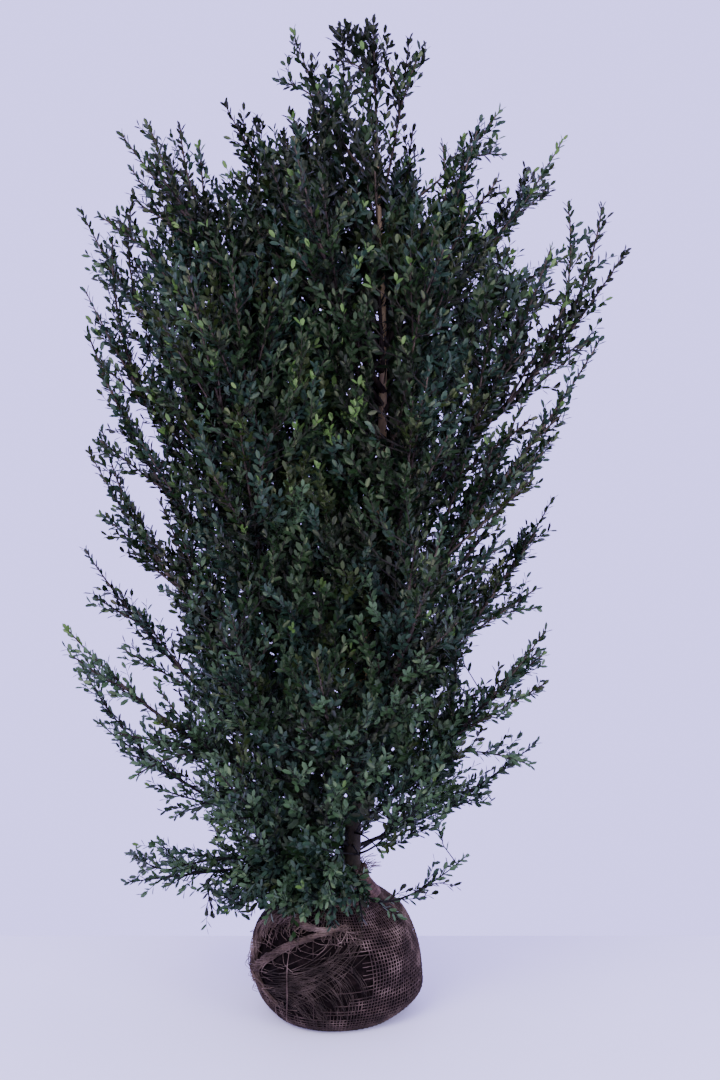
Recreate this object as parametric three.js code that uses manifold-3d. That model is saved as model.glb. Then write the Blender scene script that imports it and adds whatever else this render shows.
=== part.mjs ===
// Japanese holly dug from a nursery field: two stems on a hessian-wrapped root ball, boughs that rise from
// them, and open masses of ascending leafy shoots. Each spray of small leaves is drawn as one larger leaf.
// Millimetres and degrees. +X is the picture's right, +Y points away from the viewer, +Z is up, and the
// origin is the middle of the root ball's flat underside.
import * as THREE from "three";
import { mergeVertices } from "three/addons/utils/BufferGeometryUtils.js";
import Module from "manifold-3d";

const wasm = await Module();
wasm.setup();

const GAP = 0.35; // what touching pieces keep between them
const UP = new THREE.Vector3(0, 0, 1);
const GOLDEN_ANGLE = THREE.MathUtils.degToRad(137.5);
const GOLDEN_SHARE = 0.618;

// The root ball: half its outline, from the middle of the underside to the middle of the flat top.
const BALL_HEIGHT = 306;
const BALL_OUTLINE = [
  [0, 0],
  [152, 0],
  [178, 26],
  [194, 78],
  [198, 128],
  [190, 180],
  [168, 224],
  [128, 262],
  [84, 292],
  [72, BALL_HEIGHT],
  [0, BALL_HEIGHT],
];
const BALL_SIDES = 24;
const BUMPS_BELOW = 250; // the height above which the lumps end
const BALL_BUMP = 5; // how far lumps in the soil push the cloth out or let it in
const CLOTH_CLEARANCE = 20; // what the foliage leaves free over the ball, for its collar and its rolled edges

// Cloth gathered round the stems: half its outline, and the pleats that turn its upper edge in and out.
const COLLAR_OUTLINE = [[78, 299.6], [120, 268], [112, 290], [99, 319], [84, 323]];
const COLLAR = { pleats: 5, depth: 5 };

// Rolled edges of the torn cloth at the front left, by points on the ball as [bearing, height].
const HEM_EDGES = [
  [[226, 254], [207, 236], [199, 196], [200, 146], [214, 92]],
  [[202, 150], [221, 172], [243, 208]],
];
const HEM = { radius: 10, tip: 5, sides: 5, steps: 6 };

// The stems, by points on their middle line, with the radius at the foot and at the tip.
const STEMS = {
  trunk: {
    line: [[33, 0], [50, 0, 600], [70, 6, 900], [104, 0, 1260], [108, 0, 1660], [96, 0, 1960]],
    foot: 21,
    tip: 4,
  },
  second_stem: {
    line: [[-45, 16], [-84, 30, 560], [-128, 34, 960], [-178, 24, 1440]],
    foot: 15,
    tip: 4.5,
  },
};
const ROOT_FLARE = 0.5; // the share by which a stem's foot is wider than the stem above it
const FLARE_LENGTH = 0.07; // of the stem's length
const STEM_SIDES = 8;
const STEM_STEPS = 11;
const FOOT_DEPTH = 12; // how far below the flat cut at its foot a stem's middle line starts

// Tips of the limbs that make the crown's outline, each as [reach from the middle of the root ball, height]
// where the line of sight from the viewpoint passes over the middle of the plant.
const VIEWPOINT = new THREE.Vector3(57, -3432, 1540);
const LEFT_TIPS = [
  [496, 300], [556, 689], [621, 907], [577, 1095], [562, 1320], [530, 1500],
  [562, 1683], [571, 1864], [474, 2028], [243, 2094], [91, 2251],
];
const RIGHT_TIPS = [
  [306, 362], [470, 640], [487, 905], [498, 1211], [510, 1421],
  [601, 1575], [654, 1771], [510, 2018], [324, 2057], [179, 2216],
];
const LEADER_TIPS = { trunk: [86, 0, 2287], second_stem: [-416, 30, 2050] };
const SWINGS = [-0.18, 0.34, -0.5, 0.08, 0.55, -0.34]; // how far side limbs lean back, as shares of the reach

// Limbs towards the viewer and away, which the outline hides, and short ones that fill the crown's middle.
const DEEP = { limbs: 13, reach: 490, ends: 0.8, lowest: 430, highest: 1960, fan: 130 };
const INNER = { limbs: 8, reach: 270, climb: 230, lowestShare: 0.16, highestShare: 0.84, bearings: 24 };
const ROOM_SHARES = [0.35, 0.6, 1]; // where along an inner limb its distance to the others is taken

const CROWN = { foot: 250, top: 2290 };
const LOWEST_FORK = 345;
const SECOND_STEM_SIDE = { within: -100, upTo: 0.95 }; // tips further left fork from it, up to that share
const FORK_DEPTH = 2.1; // power by which forks lag behind the tips: more gives steeper limbs
const BOW = { out: 0.56, up: 0.3 }; // where a limb's bend lies, as shares of its reach and its climb
const LONG_LIMB = 720; // a longer limb has a bare bough of its own before its foliage
const BOUGH_SHARE = 0.24;
const LIMB_TAPER = { perLength: 0.0105, least: 4, tip: 2 };
const BOUGH_SIDES = 6;
const BOUGH_STEPS = 3;
const TWIG_SIDES = 3;
const MASS_STEM_STEPS = 3;
const CHAIN_STEPS = { mass: 6, limb: 8, bareLimb: 10 };

// The rule by which a mass of foliage grows from its stem.
const SEEDS = { first: 101, step: 17 };
const SHOOTS = 3;
const FIRST_SHOOT = { afterBough: 0.06, onStem: 0.28 };
const LAST_SHOOT = 0.96;
const SHOOT_LENGTH = 240;
const SHORTER_TRIES = [1, 0.75, 0.5];
const SHOOT_CHECKS = [0.3, 0.6, 0.8, 1];
const SHOOT_SHORTER = 0.5; // the share by which shoots shorten towards the tip of the mass
const SHOOT_SPREAD = 42;
const SHOOT_LIFT = 0.45;
const SHOOT_RADIUS = { foot: 3, tip: 2 };
const LEAVES_ON_SHOOT = 3;
const LEAVES_ON_TIP = 2;
const WOOD_ENDS = 0.9; // share of a leaf's length by which a shoot's wood stops before its last leaf's tip
const LEAF = { length: 120, width: 62, thickness: 6, droop: 0.08, widest: 0.56, spread: 46, roll: 40 };
const LEAVES_APART = 63;
const LEAFY = { from: 0.4, tip: 0.97 }; // shares of a shoot at which its first leaf and its last one sit
const SIDE_SPREAD = { at: LEAF.spread, step: 0 };
const TIP_SPREAD = { at: 3, step: 5 };
const LEAF_TRIES = 7;
const LEAF_TURN = 0.9; // radians from one try to the next
const CORE = { outer: 50, middle: 78, least: 14, sides: 5, rings: 4, from: 0.06, to: 0.92 };
const CORE_LEAVES = { count: 6, from: 0.12, to: 0.88, depth: 0.55 };
const SPACE_MARGIN = 4;

const MATERIALS = {
  bark: { color: 0x6b5143, roughness: 0.85 },
  leaf: { color: 0x2c4a35, roughness: 0.45 },
  hessian: { color: 0x6e5847, roughness: 0.95 },
};
for (const [name, look] of Object.entries(MATERIALS)) {
  MATERIALS[name] = new THREE.MeshStandardMaterial({ name, metalness: 0, ...look });
}

// Random numbers from 0 to 1 that come out the same every time for one seed.
function seeded(seed) {
  let state = seed >>> 0;
  return () => {
    state = (state + 0x6d2b79f5) >>> 0;
    let mixed = Math.imul(state ^ (state >>> 15), state | 1);
    mixed ^= mixed + Math.imul(mixed ^ (mixed >>> 7), mixed | 61);
    return ((mixed ^ (mixed >>> 14)) >>> 0) / 4294967296;
  };
}

const between = (random, low, high) => low + (high - low) * random();

// A part of another curve, from one share of it to another.
class Stretch extends THREE.Curve {
  constructor(whole, from, to) {
    super();
    Object.assign(this, { whole, from, to });
  }
  getPoint(share, target = new THREE.Vector3()) {
    return target.copy(this.whole.getPoint(this.from + (this.to - this.from) * share));
  }
}

// A curve's straight stretches between the rings of the limb that is made along it.
class Facets extends THREE.Curve {
  constructor(curve, steps) {
    super();
    this.points = Array.from({ length: steps + 1 }, (unused, i) => curve.getPoint(i / steps));
  }
  getPoint(share, target = new THREE.Vector3()) {
    const place = share * (this.points.length - 1);
    const i = Math.min(Math.floor(place), this.points.length - 2);
    return target.lerpVectors(this.points[i], this.points[i + 1], place - i);
  }
}

// A closed geometry as a solid, and back.
function solidOf(geometry) {
  const bare = geometry.index ? geometry.toNonIndexed() : geometry.clone();
  bare.deleteAttribute("normal");
  bare.deleteAttribute("uv");
  const merged = mergeVertices(bare, 1e-3);
  return new wasm.Manifold(
    new wasm.Mesh({
      numProp: 3,
      vertProperties: merged.getAttribute("position").array,
      triVerts: new Uint32Array(merged.index.array),
    }),
  );
}

function geometryOf(solid) {
  const { vertProperties, triVerts } = solid.getMesh();
  const geometry = new THREE.BufferGeometry();
  geometry.setAttribute("position", new THREE.BufferAttribute(vertProperties, 3));
  geometry.setIndex(new THREE.BufferAttribute(triVerts, 1));
  geometry.computeVertexNormals();
  return geometry;
}

// The largest of a solid's separate bodies: scraps and sealed hollows are dropped.
function mainBody(solid) {
  const bodies = solid.decompose();
  return bodies.reduce((best, body) => (body.volume() > best.volume() ? body : best));
}

// A unit shape, which stands on the origin along Y, bent along a curve. The radius may depend on the share of
// the curve's length, on the place and on the direction out from it.
function bendAlong(shape, curve, radiusAt) {
  const chord = curve.getPoint(1).sub(curve.getPoint(0)).normalize();
  const reference = Math.abs(chord.y) < 0.7 ? new THREE.Vector3(0, 1, 0) : new THREE.Vector3(1, 0, 0);
  const position = shape.getAttribute("position");
  for (let i = 0; i < position.count; i++) {
    const share = THREE.MathUtils.clamp(position.getY(i), 0, 1);
    const along = curve.getTangent(share);
    const side = new THREE.Vector3().crossVectors(reference, along).normalize();
    const across = new THREE.Vector3().crossVectors(side, along);
    const point = curve.getPoint(share);
    const out = side.multiplyScalar(position.getX(i)).addScaledVector(across, position.getZ(i));
    point.addScaledVector(out, radiusAt(share, point, out));
    position.setXYZ(i, point.x, point.y, point.z);
  }
  return shape;
}

const limbGeometry = (curve, radiusAt, sides, steps) =>
  bendAlong(new THREE.CylinderGeometry(1, 1, 1, sides, steps).translate(0, 0.5, 0), curve, radiusAt);

const straightTaper = (foot, tip) => (share) => foot + (tip - foot) * share;

// One large leaf of six faces: a pointed tail and tip on either side of a flat triangle, whose top corner is
// the leaf's ridge. The widest place is past the middle and the tip bends down.
function leafGeometry({ base, direction, face, roll }) {
  const geometry = new THREE.SphereGeometry(1, 3, 2).rotateZ(-Math.PI / 2).rotateX(Math.PI / 2);
  const position = geometry.getAttribute("position");
  const corner = Math.sqrt(3) / 2;
  for (let i = 0; i < position.count; i++) {
    const along = position.getX(i);
    const widest = Math.abs(along) < 0.5 ? LEAF.widest : (along + 1) / 2;
    const droop = LEAF.droop * LEAF.length * Math.max(0, along);
    position.setXYZ(
      i,
      widest * LEAF.length,
      (position.getY(i) / corner) * (LEAF.width / 2),
      (position.getZ(i) * LEAF.thickness) / 1.5 - droop,
    );
  }
  const up = face.clone().applyAxisAngle(direction, THREE.MathUtils.degToRad(roll));
  const across = new THREE.Vector3().crossVectors(up, direction);
  const frame = new THREE.Matrix4().makeBasis(direction, across, up).setPosition(base);
  return geometry.applyMatrix4(frame);
}

// The stems rise from the flat top of the root ball.
function growStems() {
  return Object.fromEntries(
    Object.entries(STEMS).map(([name, { line, foot, tip }]) => {
      const points = line.map(([x, y, z = BALL_HEIGHT - FOOT_DEPTH]) => new THREE.Vector3(x, y, z));
      const curve = new THREE.CatmullRomCurve3(points);
      const radiusAt = (share) => {
        const flare = ROOT_FLARE * Math.max(0, 1 - share / FLARE_LENGTH) ** 2;
        return (foot + (tip - foot) * share) * (1 + flare);
      };
      return [name, { name, curve, radiusAt }];
    }),
  );
}

// The share of a stem's length at which it reaches a height.
function shareAtHeight(curve, height) {
  let low = 0;
  let high = 1;
  for (let step = 0; step < 30; step++) {
    const middle = (low + high) / 2;
    if (curve.getPoint(middle).z < height) low = middle;
    else high = middle;
  }
  return (low + high) / 2;
}

// Where every limb of the outline ends, and of those to the front and the back.
function limbTips() {
  const tips = [];
  const side = (name, list, sign) =>
    list.forEach(([reach, height], i) => {
      const seen = new THREE.Vector3(sign * reach, 0, height);
      const swing = SWINGS[i % SWINGS.length] * reach;
      const tip = VIEWPOINT.clone().lerp(seen, 1 - swing / VIEWPOINT.y);
      tips.push({ name: `${name}_${i + 1}`, tip, core: CORE.outer });
    });
  side("left", LEFT_TIPS, -1);
  side("right", RIGHT_TIPS, 1);
  for (let i = 0; i < DEEP.limbs; i++) {
    const climb = i / (DEEP.limbs - 1);
    const front = i % 2 === 0;
    const fan = (((i * GOLDEN_SHARE) % 1) - 0.5) * DEEP.fan;
    const bearing = THREE.MathUtils.degToRad((front ? -90 : 90) + fan);
    const reach = DEEP.reach * THREE.MathUtils.lerp(DEEP.ends, 1, Math.sin(climb * Math.PI));
    const height = THREE.MathUtils.lerp(DEEP.lowest, DEEP.highest, climb);
    const tip = new THREE.Vector3(Math.cos(bearing) * reach, Math.sin(bearing) * reach, height);
    tips.push({ name: `${front ? "front" : "back"}_${Math.floor(i / 2) + 1}`, tip, core: CORE.middle });
  }
  return tips;
}

// A limb's middle line, from a height on its stem's middle to its tip, and how much of it is bare bough.
function limbFrom(name, stem, fork, tip) {
  const foot = stem.curve.getPoint(shareAtHeight(stem.curve, fork));
  const bend = foot.clone().lerp(tip, BOW.out);
  bend.z = foot.z + BOW.up * (tip.z - foot.z);
  const curve = new THREE.QuadraticBezierCurve3(foot, bend, tip);
  const length = curve.getLength();
  const thick = Math.max(LIMB_TAPER.least, LIMB_TAPER.perLength * length);
  const boughShare = length > LONG_LIMB ? BOUGH_SHARE : 0;
  return { name, curve, length, radiusAt: straightTaper(thick, LIMB_TAPER.tip), boughShare };
}

// Forks follow their tips up the stem. Low limbs on the left grow from the second stem.
function planLimb({ name, tip, core }, stems) {
  const climb = THREE.MathUtils.inverseLerp(CROWN.foot, CROWN.top, tip.z);
  const fork = THREE.MathUtils.lerp(LOWEST_FORK, stems.trunk.curve.getPoint(1).z, climb ** FORK_DEPTH);
  const secondEnds = stems.second_stem.curve.getPoint(SECOND_STEM_SIDE.upTo).z;
  const besideSecond = tip.x < SECOND_STEM_SIDE.within && fork < secondEnds;
  return { ...limbFrom(name, besideSecond ? stems.second_stem : stems.trunk, fork, tip), core };
}

// A short limb, by turns on the trunk and on the second stem, where it is furthest from the others.
function planInnerLimb(i, stems, others) {
  const stem = i % 2 ? stems.second_stem : stems.trunk;
  const rise = THREE.MathUtils.lerp(INNER.lowestShare, INNER.highestShare, i / (INNER.limbs - 1));
  const fork = THREE.MathUtils.lerp(BALL_HEIGHT, stem.curve.getPoint(1).z, rise);
  const foot = stem.curve.getPoint(shareAtHeight(stem.curve, fork));
  const chains = others.map(({ curve, radiusAt }) => chainOf(curve, radiusAt, CHAIN_STEPS.limb));
  const choices = Array.from({ length: INNER.bearings }, (unused, step) => {
    const bearing = (2 * Math.PI * step) / INNER.bearings;
    const out = new THREE.Vector3(INNER.reach, 0, INNER.climb).applyAxisAngle(UP, bearing);
    const limb = limbFrom(`inner_${i + 1}`, stem, fork, out.add(foot));
    const points = ROOM_SHARES.map((share) => limb.curve.getPoint(share));
    const room = Math.min(...points.flatMap((point) => chains.map((chain) => distanceTo(chain, point))));
    return { limb, room };
  });
  const { limb } = choices.reduce((best, choice) => (choice.room > best.room ? choice : best));
  return { ...limb, core: CORE.middle };
}

// The leafy end of a stem, which carries on from its tip.
function planLeader(stem) {
  const foot = stem.curve.getPoint(1).addScaledVector(stem.curve.getTangent(1), 2 * GAP);
  const curve = new THREE.LineCurve3(foot, new THREE.Vector3(...LEADER_TIPS[stem.name]));
  const radiusAt = straightTaper(stem.radiusAt(1), LIMB_TAPER.tip);
  const length = curve.getLength();
  return { name: `${stem.name}_tip`, curve, length, radiusAt, boughShare: 0, leads: true, core: CORE.outer };
}

// A middle line as a chain of short straight pieces with a radius, for measuring distances.
function chainOf(curve, radiusAt, steps) {
  return Array.from({ length: steps }, (unused, i) => ({
    line: new THREE.Line3(curve.getPoint(i / steps), curve.getPoint((i + 1) / steps)),
    radius: radiusAt(i / steps),
  }));
}

const nearest = new THREE.Vector3();
function distanceTo(chain, point) {
  const distances = chain.map(
    ({ line, radius }) => line.closestPointToPoint(point, true, nearest).distanceTo(point) - radius,
  );
  return Math.min(...distances);
}

function ballRadiusAt(height) {
  for (let i = 1; i < BALL_OUTLINE.length; i++) {
    const [lowRadius, low] = BALL_OUTLINE[i - 1];
    const [highRadius, high] = BALL_OUTLINE[i];
    if (high > low && height >= low && height <= high) {
      return lowRadius + ((highRadius - lowRadius) * (height - low)) / (high - low);
    }
  }
  return 0;
}

const nearBall = (point) =>
  point.z < BALL_HEIGHT + CLOTH_CLEARANCE &&
  Math.hypot(point.x, point.y) < ballRadiusAt(Math.min(point.z, BALL_HEIGHT - 1)) + 2 * CLOTH_CLEARANCE;

// True where the point lies in the mass's own space: nearer to its own stem than to any other mass's stem,
// and clear of every bare limb and of the root ball.
function isFree(point, mass, masses, bareLimbs) {
  if (nearBall(point)) return false;
  const reach = distanceTo(mass.chain, point) + 2 * SPACE_MARGIN;
  if (masses.some((other) => other !== mass && distanceTo(other.chain, point) < reach)) return false;
  return bareLimbs.every((chain) => distanceTo(chain, point) > SPACE_MARGIN);
}

// The direction that leaves a curve at an angle, turned about it.
function leaving(along, turn, spread) {
  const reference = Math.abs(along.z) < 0.9 ? UP : new THREE.Vector3(1, 0, 0);
  const out = new THREE.Vector3().crossVectors(along, reference).normalize().applyAxisAngle(along, turn);
  const angle = THREE.MathUtils.degToRad(spread);
  const direction = along.clone().multiplyScalar(Math.cos(angle)).addScaledVector(out, Math.sin(angle));
  const face = along.clone().multiplyScalar(Math.sin(angle)).addScaledVector(out, -Math.cos(angle));
  return { direction, face };
}

// A side shoot from a share of the mass's stem: it leaves at an angle and bends upwards.
function shootCurve(stemCurve, share, turn, spread, length) {
  const foot = stemCurve.getPoint(share);
  const { direction } = leaving(stemCurve.getTangent(share), turn, spread);
  const lifted = direction.clone().lerp(UP, SHOOT_LIFT).normalize();
  const bend = foot.clone().addScaledVector(direction, length * 0.5);
  return new THREE.QuadraticBezierCurve3(foot, bend, bend.clone().addScaledVector(lifted, length * 0.5));
}

// The corners of a geometry and the middles of its triangles' edges.
function samplesOf(geometry) {
  const position = geometry.toNonIndexed().getAttribute("position");
  const corner = (i) => new THREE.Vector3().fromBufferAttribute(position, i);
  return Array.from({ length: position.count }, (unused, i) => {
    const next = i % 3 === 2 ? i - 2 : i + 1;
    return [corner(i), corner(i).lerp(corner(next), 0.5)];
  }).flat();
}

// Leaves already on a mass, so that the next ones keep a distance. A new leaf leaves a curve's middle line
// further and further round it until it is free, or else is left out.
class Foliage {
  constructor(random, free) {
    Object.assign(this, { random, free, geometries: [], middles: [] });
  }
  place(curve, share, turn, spreads, depthAt = () => 0) {
    const roll = between(this.random, -LEAF.roll, LEAF.roll);
    for (let attempt = 0; attempt < LEAF_TRIES; attempt++) {
      const spread = spreads.at + spreads.step * attempt;
      const bearing = turn + attempt * LEAF_TURN;
      const { direction, face } = leaving(curve.getTangent(share), bearing, spread);
      const { direction: out } = leaving(curve.getTangent(share), bearing, 90);
      const foot = curve.getPoint(share);
      const base = foot.clone().addScaledVector(out, depthAt(share, foot, out));
      const middle = base.clone().addScaledVector(direction, LEAF.length * 0.5);
      if (this.middles.some((other) => other.distanceTo(middle) < LEAVES_APART)) continue;
      const leaf = leafGeometry({ base, direction, face, roll });
      if (!samplesOf(leaf).every((point) => point.distanceTo(base) < 1 || this.free(point))) continue;
      this.geometries.push(leaf);
      this.middles.push(middle);
      return;
    }
  }
  placeAlong(curve, count, turn) {
    for (let i = 0; i < count; i++) {
      const atTip = i === count - 1;
      const share = atTip ? LEAFY.tip : THREE.MathUtils.lerp(LEAFY.from, 1, i / count);
      this.place(curve, share, turn + i * GOLDEN_ANGLE, atTip ? TIP_SPREAD : SIDE_SPREAD);
    }
  }
}

// How far the dense heart of a mass swells in one direction, as far as its space lets it.
function swellAt(most, free, point, out) {
  let radius = most;
  while (radius > CORE.least && !free(point.clone().addScaledVector(out, radius * 1.2))) radius *= 0.9;
  return radius;
}

const woodShare = (curve) => Math.max(0.4, 1 - (WOOD_ENDS * LEAF.length) / curve.getLength());

// A mass's stem, core, shoots and leaves, fused.
function growMass(mass, masses, bareLimbs) {
  const random = seeded(mass.seed);
  const free = (point) => isFree(point, mass, masses, bareLimbs);
  const stem = new Facets(new Stretch(mass.curve, 0, woodShare(mass.curve)), MASS_STEM_STEPS);
  const heart = new Stretch(stem, CORE.from, CORE.to);
  const swell = (share, point, out) => swellAt(mass.core, free, point, out);
  const spindle = new THREE.SphereGeometry(1, CORE.sides, CORE.rings).scale(1, 0.5, 1).translate(0, 0.5, 0);
  const wood = [
    limbGeometry(stem, mass.radiusAt, TWIG_SIDES, MASS_STEM_STEPS),
    bendAlong(spindle, heart, swell),
  ];
  const foliage = new Foliage(random, free);
  let turn = random() * 2 * Math.PI;
  foliage.placeAlong(stem, LEAVES_ON_TIP, turn);
  for (let i = 0; i < SHOOTS; i++) {
    const share = THREE.MathUtils.lerp(mass.firstShoot, LAST_SHOOT, (i + 0.5) / SHOOTS);
    const spread = between(random, SHOOT_SPREAD - 6, SHOOT_SPREAD + 6);
    const full = SHOOT_LENGTH * (1 - SHOOT_SHORTER * share) * between(random, 0.85, 1.15);
    turn += GOLDEN_ANGLE;
    for (const shorter of SHORTER_TRIES) {
      const curve = shootCurve(stem, share, turn, spread, full * shorter);
      if (!SHOOT_CHECKS.every((part) => free(curve.getPoint(part)))) continue;
      const shoot = new Facets(new Stretch(curve, 0, woodShare(curve)), 1);
      wood.push(limbGeometry(shoot, straightTaper(SHOOT_RADIUS.foot, SHOOT_RADIUS.tip), TWIG_SIDES, 1));
      foliage.placeAlong(shoot, LEAVES_ON_SHOOT, turn);
      break;
    }
  }
  for (let i = 0; i < CORE_LEAVES.count; i++) {
    const share = THREE.MathUtils.lerp(CORE_LEAVES.from, CORE_LEAVES.to, (i + 0.5) / CORE_LEAVES.count);
    const depthAt = (...place) => CORE_LEAVES.depth * Math.sin(Math.acos(1 - 2 * share)) * swell(...place);
    turn += GOLDEN_ANGLE;
    foliage.place(heart, share, turn, SIDE_SPREAD, depthAt);
  }
  return wasm.Manifold.union([...wood, ...foliage.geometries].map(solidOf));
}

// An outline turned about the vertical.
function turned(outline) {
  const points = outline.map(([radius, height]) => new THREE.Vector2(radius, height));
  return new THREE.LatheGeometry(points, BALL_SIDES).rotateX(Math.PI / 2);
}

// The wrapped ball, with lumps that leave its top and its underside flat.
function rootBallGeometry() {
  const geometry = turned(BALL_OUTLINE);
  const position = geometry.getAttribute("position");
  for (let i = 0; i < position.count; i++) {
    const [x, y, z] = [position.getX(i), position.getY(i), position.getZ(i)];
    const radius = Math.hypot(x, y);
    if (radius < 1 || z < 1 || z > BUMPS_BELOW) continue;
    const bearing = Math.atan2(y, x);
    const bump = BALL_BUMP * (Math.sin(3 * bearing + z / 40) * 0.6 + Math.sin(5 * bearing - z / 25) * 0.4);
    position.setXY(i, (x * (radius + bump)) / radius, (y * (radius + bump)) / radius);
  }
  return geometry;
}

// The collar, a closed outline turned about the vertical. It lies on the ball with the same number of sides.
function collarGeometry() {
  const geometry = turned([...COLLAR_OUTLINE, COLLAR_OUTLINE[0]]);
  const position = geometry.getAttribute("position");
  for (let i = 0; i < position.count; i++) {
    if (position.getZ(i) < BALL_HEIGHT) continue;
    const [x, y] = [position.getX(i), position.getY(i)];
    const radius = Math.hypot(x, y);
    const pleated = radius + COLLAR.depth * Math.sin(COLLAR.pleats * Math.atan2(y, x));
    position.setXY(i, (x * pleated) / radius, (y * pleated) / radius);
  }
  return geometry;
}

// The rolled edges of the cloth, fused into one piece.
function hemSolid() {
  const edges = HEM_EDGES.map((points) => {
    const onBall = points.map(([bearing, height]) => {
      const angle = THREE.MathUtils.degToRad(bearing);
      const radius = ballRadiusAt(height) + HEM.tip;
      return new THREE.Vector3(Math.cos(angle) * radius, Math.sin(angle) * radius, height);
    });
    const line = new THREE.CatmullRomCurve3(onBall);
    return limbGeometry(line, straightTaper(HEM.radius, HEM.tip), HEM.sides, HEM.steps);
  });
  return wasm.Manifold.union(edges.map(solidOf));
}

function add(group, name, geometry, material) {
  const mesh = new THREE.Mesh(geometry, MATERIALS[material]);
  mesh.name = name;
  group.add(mesh);
}

const plant = new THREE.Group();
plant.name = "japanese_holly";

const stems = growStems();
const limbs = [...Object.values(stems).map(planLeader), ...limbTips().map((end) => planLimb(end, stems))];
for (let i = 0; i < INNER.limbs; i++) {
  limbs.push(planInnerLimb(i, stems, limbs));
}
const masses = limbs.map((limb, i) => {
  const from = limb.boughShare ? limb.boughShare + GAP / limb.length : 0;
  const curve = new Stretch(limb.curve, from, 1);
  const radiusAt = (share) => limb.radiusAt(from + (1 - from) * share);
  const firstShoot = limb.boughShare || limb.leads ? FIRST_SHOOT.afterBough : FIRST_SHOOT.onStem;
  const seed = SEEDS.first + i * SEEDS.step;
  const chain = chainOf(curve, radiusAt, CHAIN_STEPS.mass);
  return { name: limb.name, seed, curve, radiusAt, firstShoot, core: limb.core, chain };
});
const boughs = limbs
  .filter(({ boughShare }) => boughShare)
  .map(({ name, curve, radiusAt, boughShare }) => {
    const bare = new Stretch(curve, 0, boughShare);
    return { name, curve: bare, radiusAt: (share) => radiusAt(boughShare * share) };
  });
const bareLimbs = [...Object.values(stems), ...boughs].map(({ curve, radiusAt }) =>
  chainOf(curve, radiusAt, CHAIN_STEPS.bareLimb),
);

// Each piece is cut clear of the bare limbs that were made before it.
const cutters = [];
const cutClear = (solid) => mainBody(cutters.reduce((rest, cutter) => rest.subtract(cutter), solid));
const ballGrowth = 1 + (2 * GAP) / BALL_HEIGHT;
const ballCutter = solidOf(rootBallGeometry().scale(ballGrowth, ballGrowth, ballGrowth));
add(plant, "root_ball", rootBallGeometry(), "hessian");
add(plant, "hessian_collar", collarGeometry(), "hessian");
add(plant, "hessian_hem", geometryOf(mainBody(hemSolid().subtract(ballCutter))), "hessian");
for (const { name, curve, radiusAt } of Object.values(stems)) {
  const whole = solidOf(limbGeometry(curve, radiusAt, STEM_SIDES, STEM_STEPS));
  add(plant, name, geometryOf(whole.trimByPlane([0, 0, 1], BALL_HEIGHT + GAP)), "bark");
  cutters.push(solidOf(limbGeometry(curve, (share) => radiusAt(share) + GAP, STEM_SIDES, STEM_STEPS)));
}
for (const { name, curve, radiusAt } of boughs) {
  const whole = solidOf(limbGeometry(curve, radiusAt, BOUGH_SIDES, BOUGH_STEPS));
  add(plant, `bough_${name}`, geometryOf(cutClear(whole)), "bark");
  cutters.push(solidOf(limbGeometry(curve, (share) => radiusAt(share) + GAP, BOUGH_SIDES, BOUGH_STEPS)));
}
for (const mass of masses) {
  add(plant, `foliage_${mass.name}`, geometryOf(cutClear(growMass(mass, masses, bareLimbs))), "leaf");
}

export default plant;
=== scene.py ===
import math

import bpy
import numpy as np
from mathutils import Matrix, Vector, noise


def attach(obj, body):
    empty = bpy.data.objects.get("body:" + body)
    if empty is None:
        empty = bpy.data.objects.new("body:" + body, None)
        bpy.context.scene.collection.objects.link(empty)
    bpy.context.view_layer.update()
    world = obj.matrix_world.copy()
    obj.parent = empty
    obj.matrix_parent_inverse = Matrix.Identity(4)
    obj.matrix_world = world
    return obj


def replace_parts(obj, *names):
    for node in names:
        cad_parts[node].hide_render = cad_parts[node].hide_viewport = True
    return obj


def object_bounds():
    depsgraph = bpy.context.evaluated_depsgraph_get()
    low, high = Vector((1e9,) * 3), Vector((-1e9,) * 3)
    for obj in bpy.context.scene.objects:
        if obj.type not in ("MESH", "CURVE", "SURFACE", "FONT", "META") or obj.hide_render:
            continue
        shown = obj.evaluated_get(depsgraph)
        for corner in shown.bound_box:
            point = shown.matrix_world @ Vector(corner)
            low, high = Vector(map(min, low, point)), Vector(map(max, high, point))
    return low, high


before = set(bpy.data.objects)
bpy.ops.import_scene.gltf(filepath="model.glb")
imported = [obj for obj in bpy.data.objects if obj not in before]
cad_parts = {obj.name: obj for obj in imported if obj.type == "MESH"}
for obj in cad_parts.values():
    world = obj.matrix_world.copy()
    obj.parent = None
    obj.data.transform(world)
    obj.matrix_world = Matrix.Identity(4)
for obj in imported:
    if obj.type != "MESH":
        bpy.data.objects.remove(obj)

CAD_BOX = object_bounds()
SEED = 101
UP = np.array([0.0, 0.0, 1.0])
TINY = 1e-12
FULL_TURN = 2 * math.pi
GOLDEN_ANGLE = math.radians(137.5)
GOLDEN_SHARE = 0.618

# The view of the photograph: the camera's place, its pitch, and its lens and sensor in millimetres.
VIEWPOINT = np.array([0.057, -3.432, 1.540])
CAMERA = {"pitch": 82.99, "lens": 50, "sensor": 36}

# The root ball: half its outline, as [radius, height], from the edge of the underside to the edge of the top.
BALL_HEIGHT = 0.306
BALL_OUTLINE = [
    [0.152, 0.0], [0.178, 0.026], [0.194, 0.078], [0.198, 0.128], [0.190, 0.180],
    [0.168, 0.224], [0.128, 0.262], [0.084, 0.292], [0.072, BALL_HEIGHT],
]
BALL_STEPS = 200

# Its uneven surface: waves, as [number round it, height of a wave, share of the depth], and a low bulge.
BALL_WAVES = {"depth": 0.005, "waves": [[3, 0.040, 0.6], [5, -0.025, 0.4]]}
BALL_BULGE = {"bearing": -8, "spread": 40, "height": 0.052, "rise": 0.034, "out": 0.013}
UNEVEN = {"below": 0.250, "fades_over": 0.03, "from_floor": 0.01}

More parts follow.
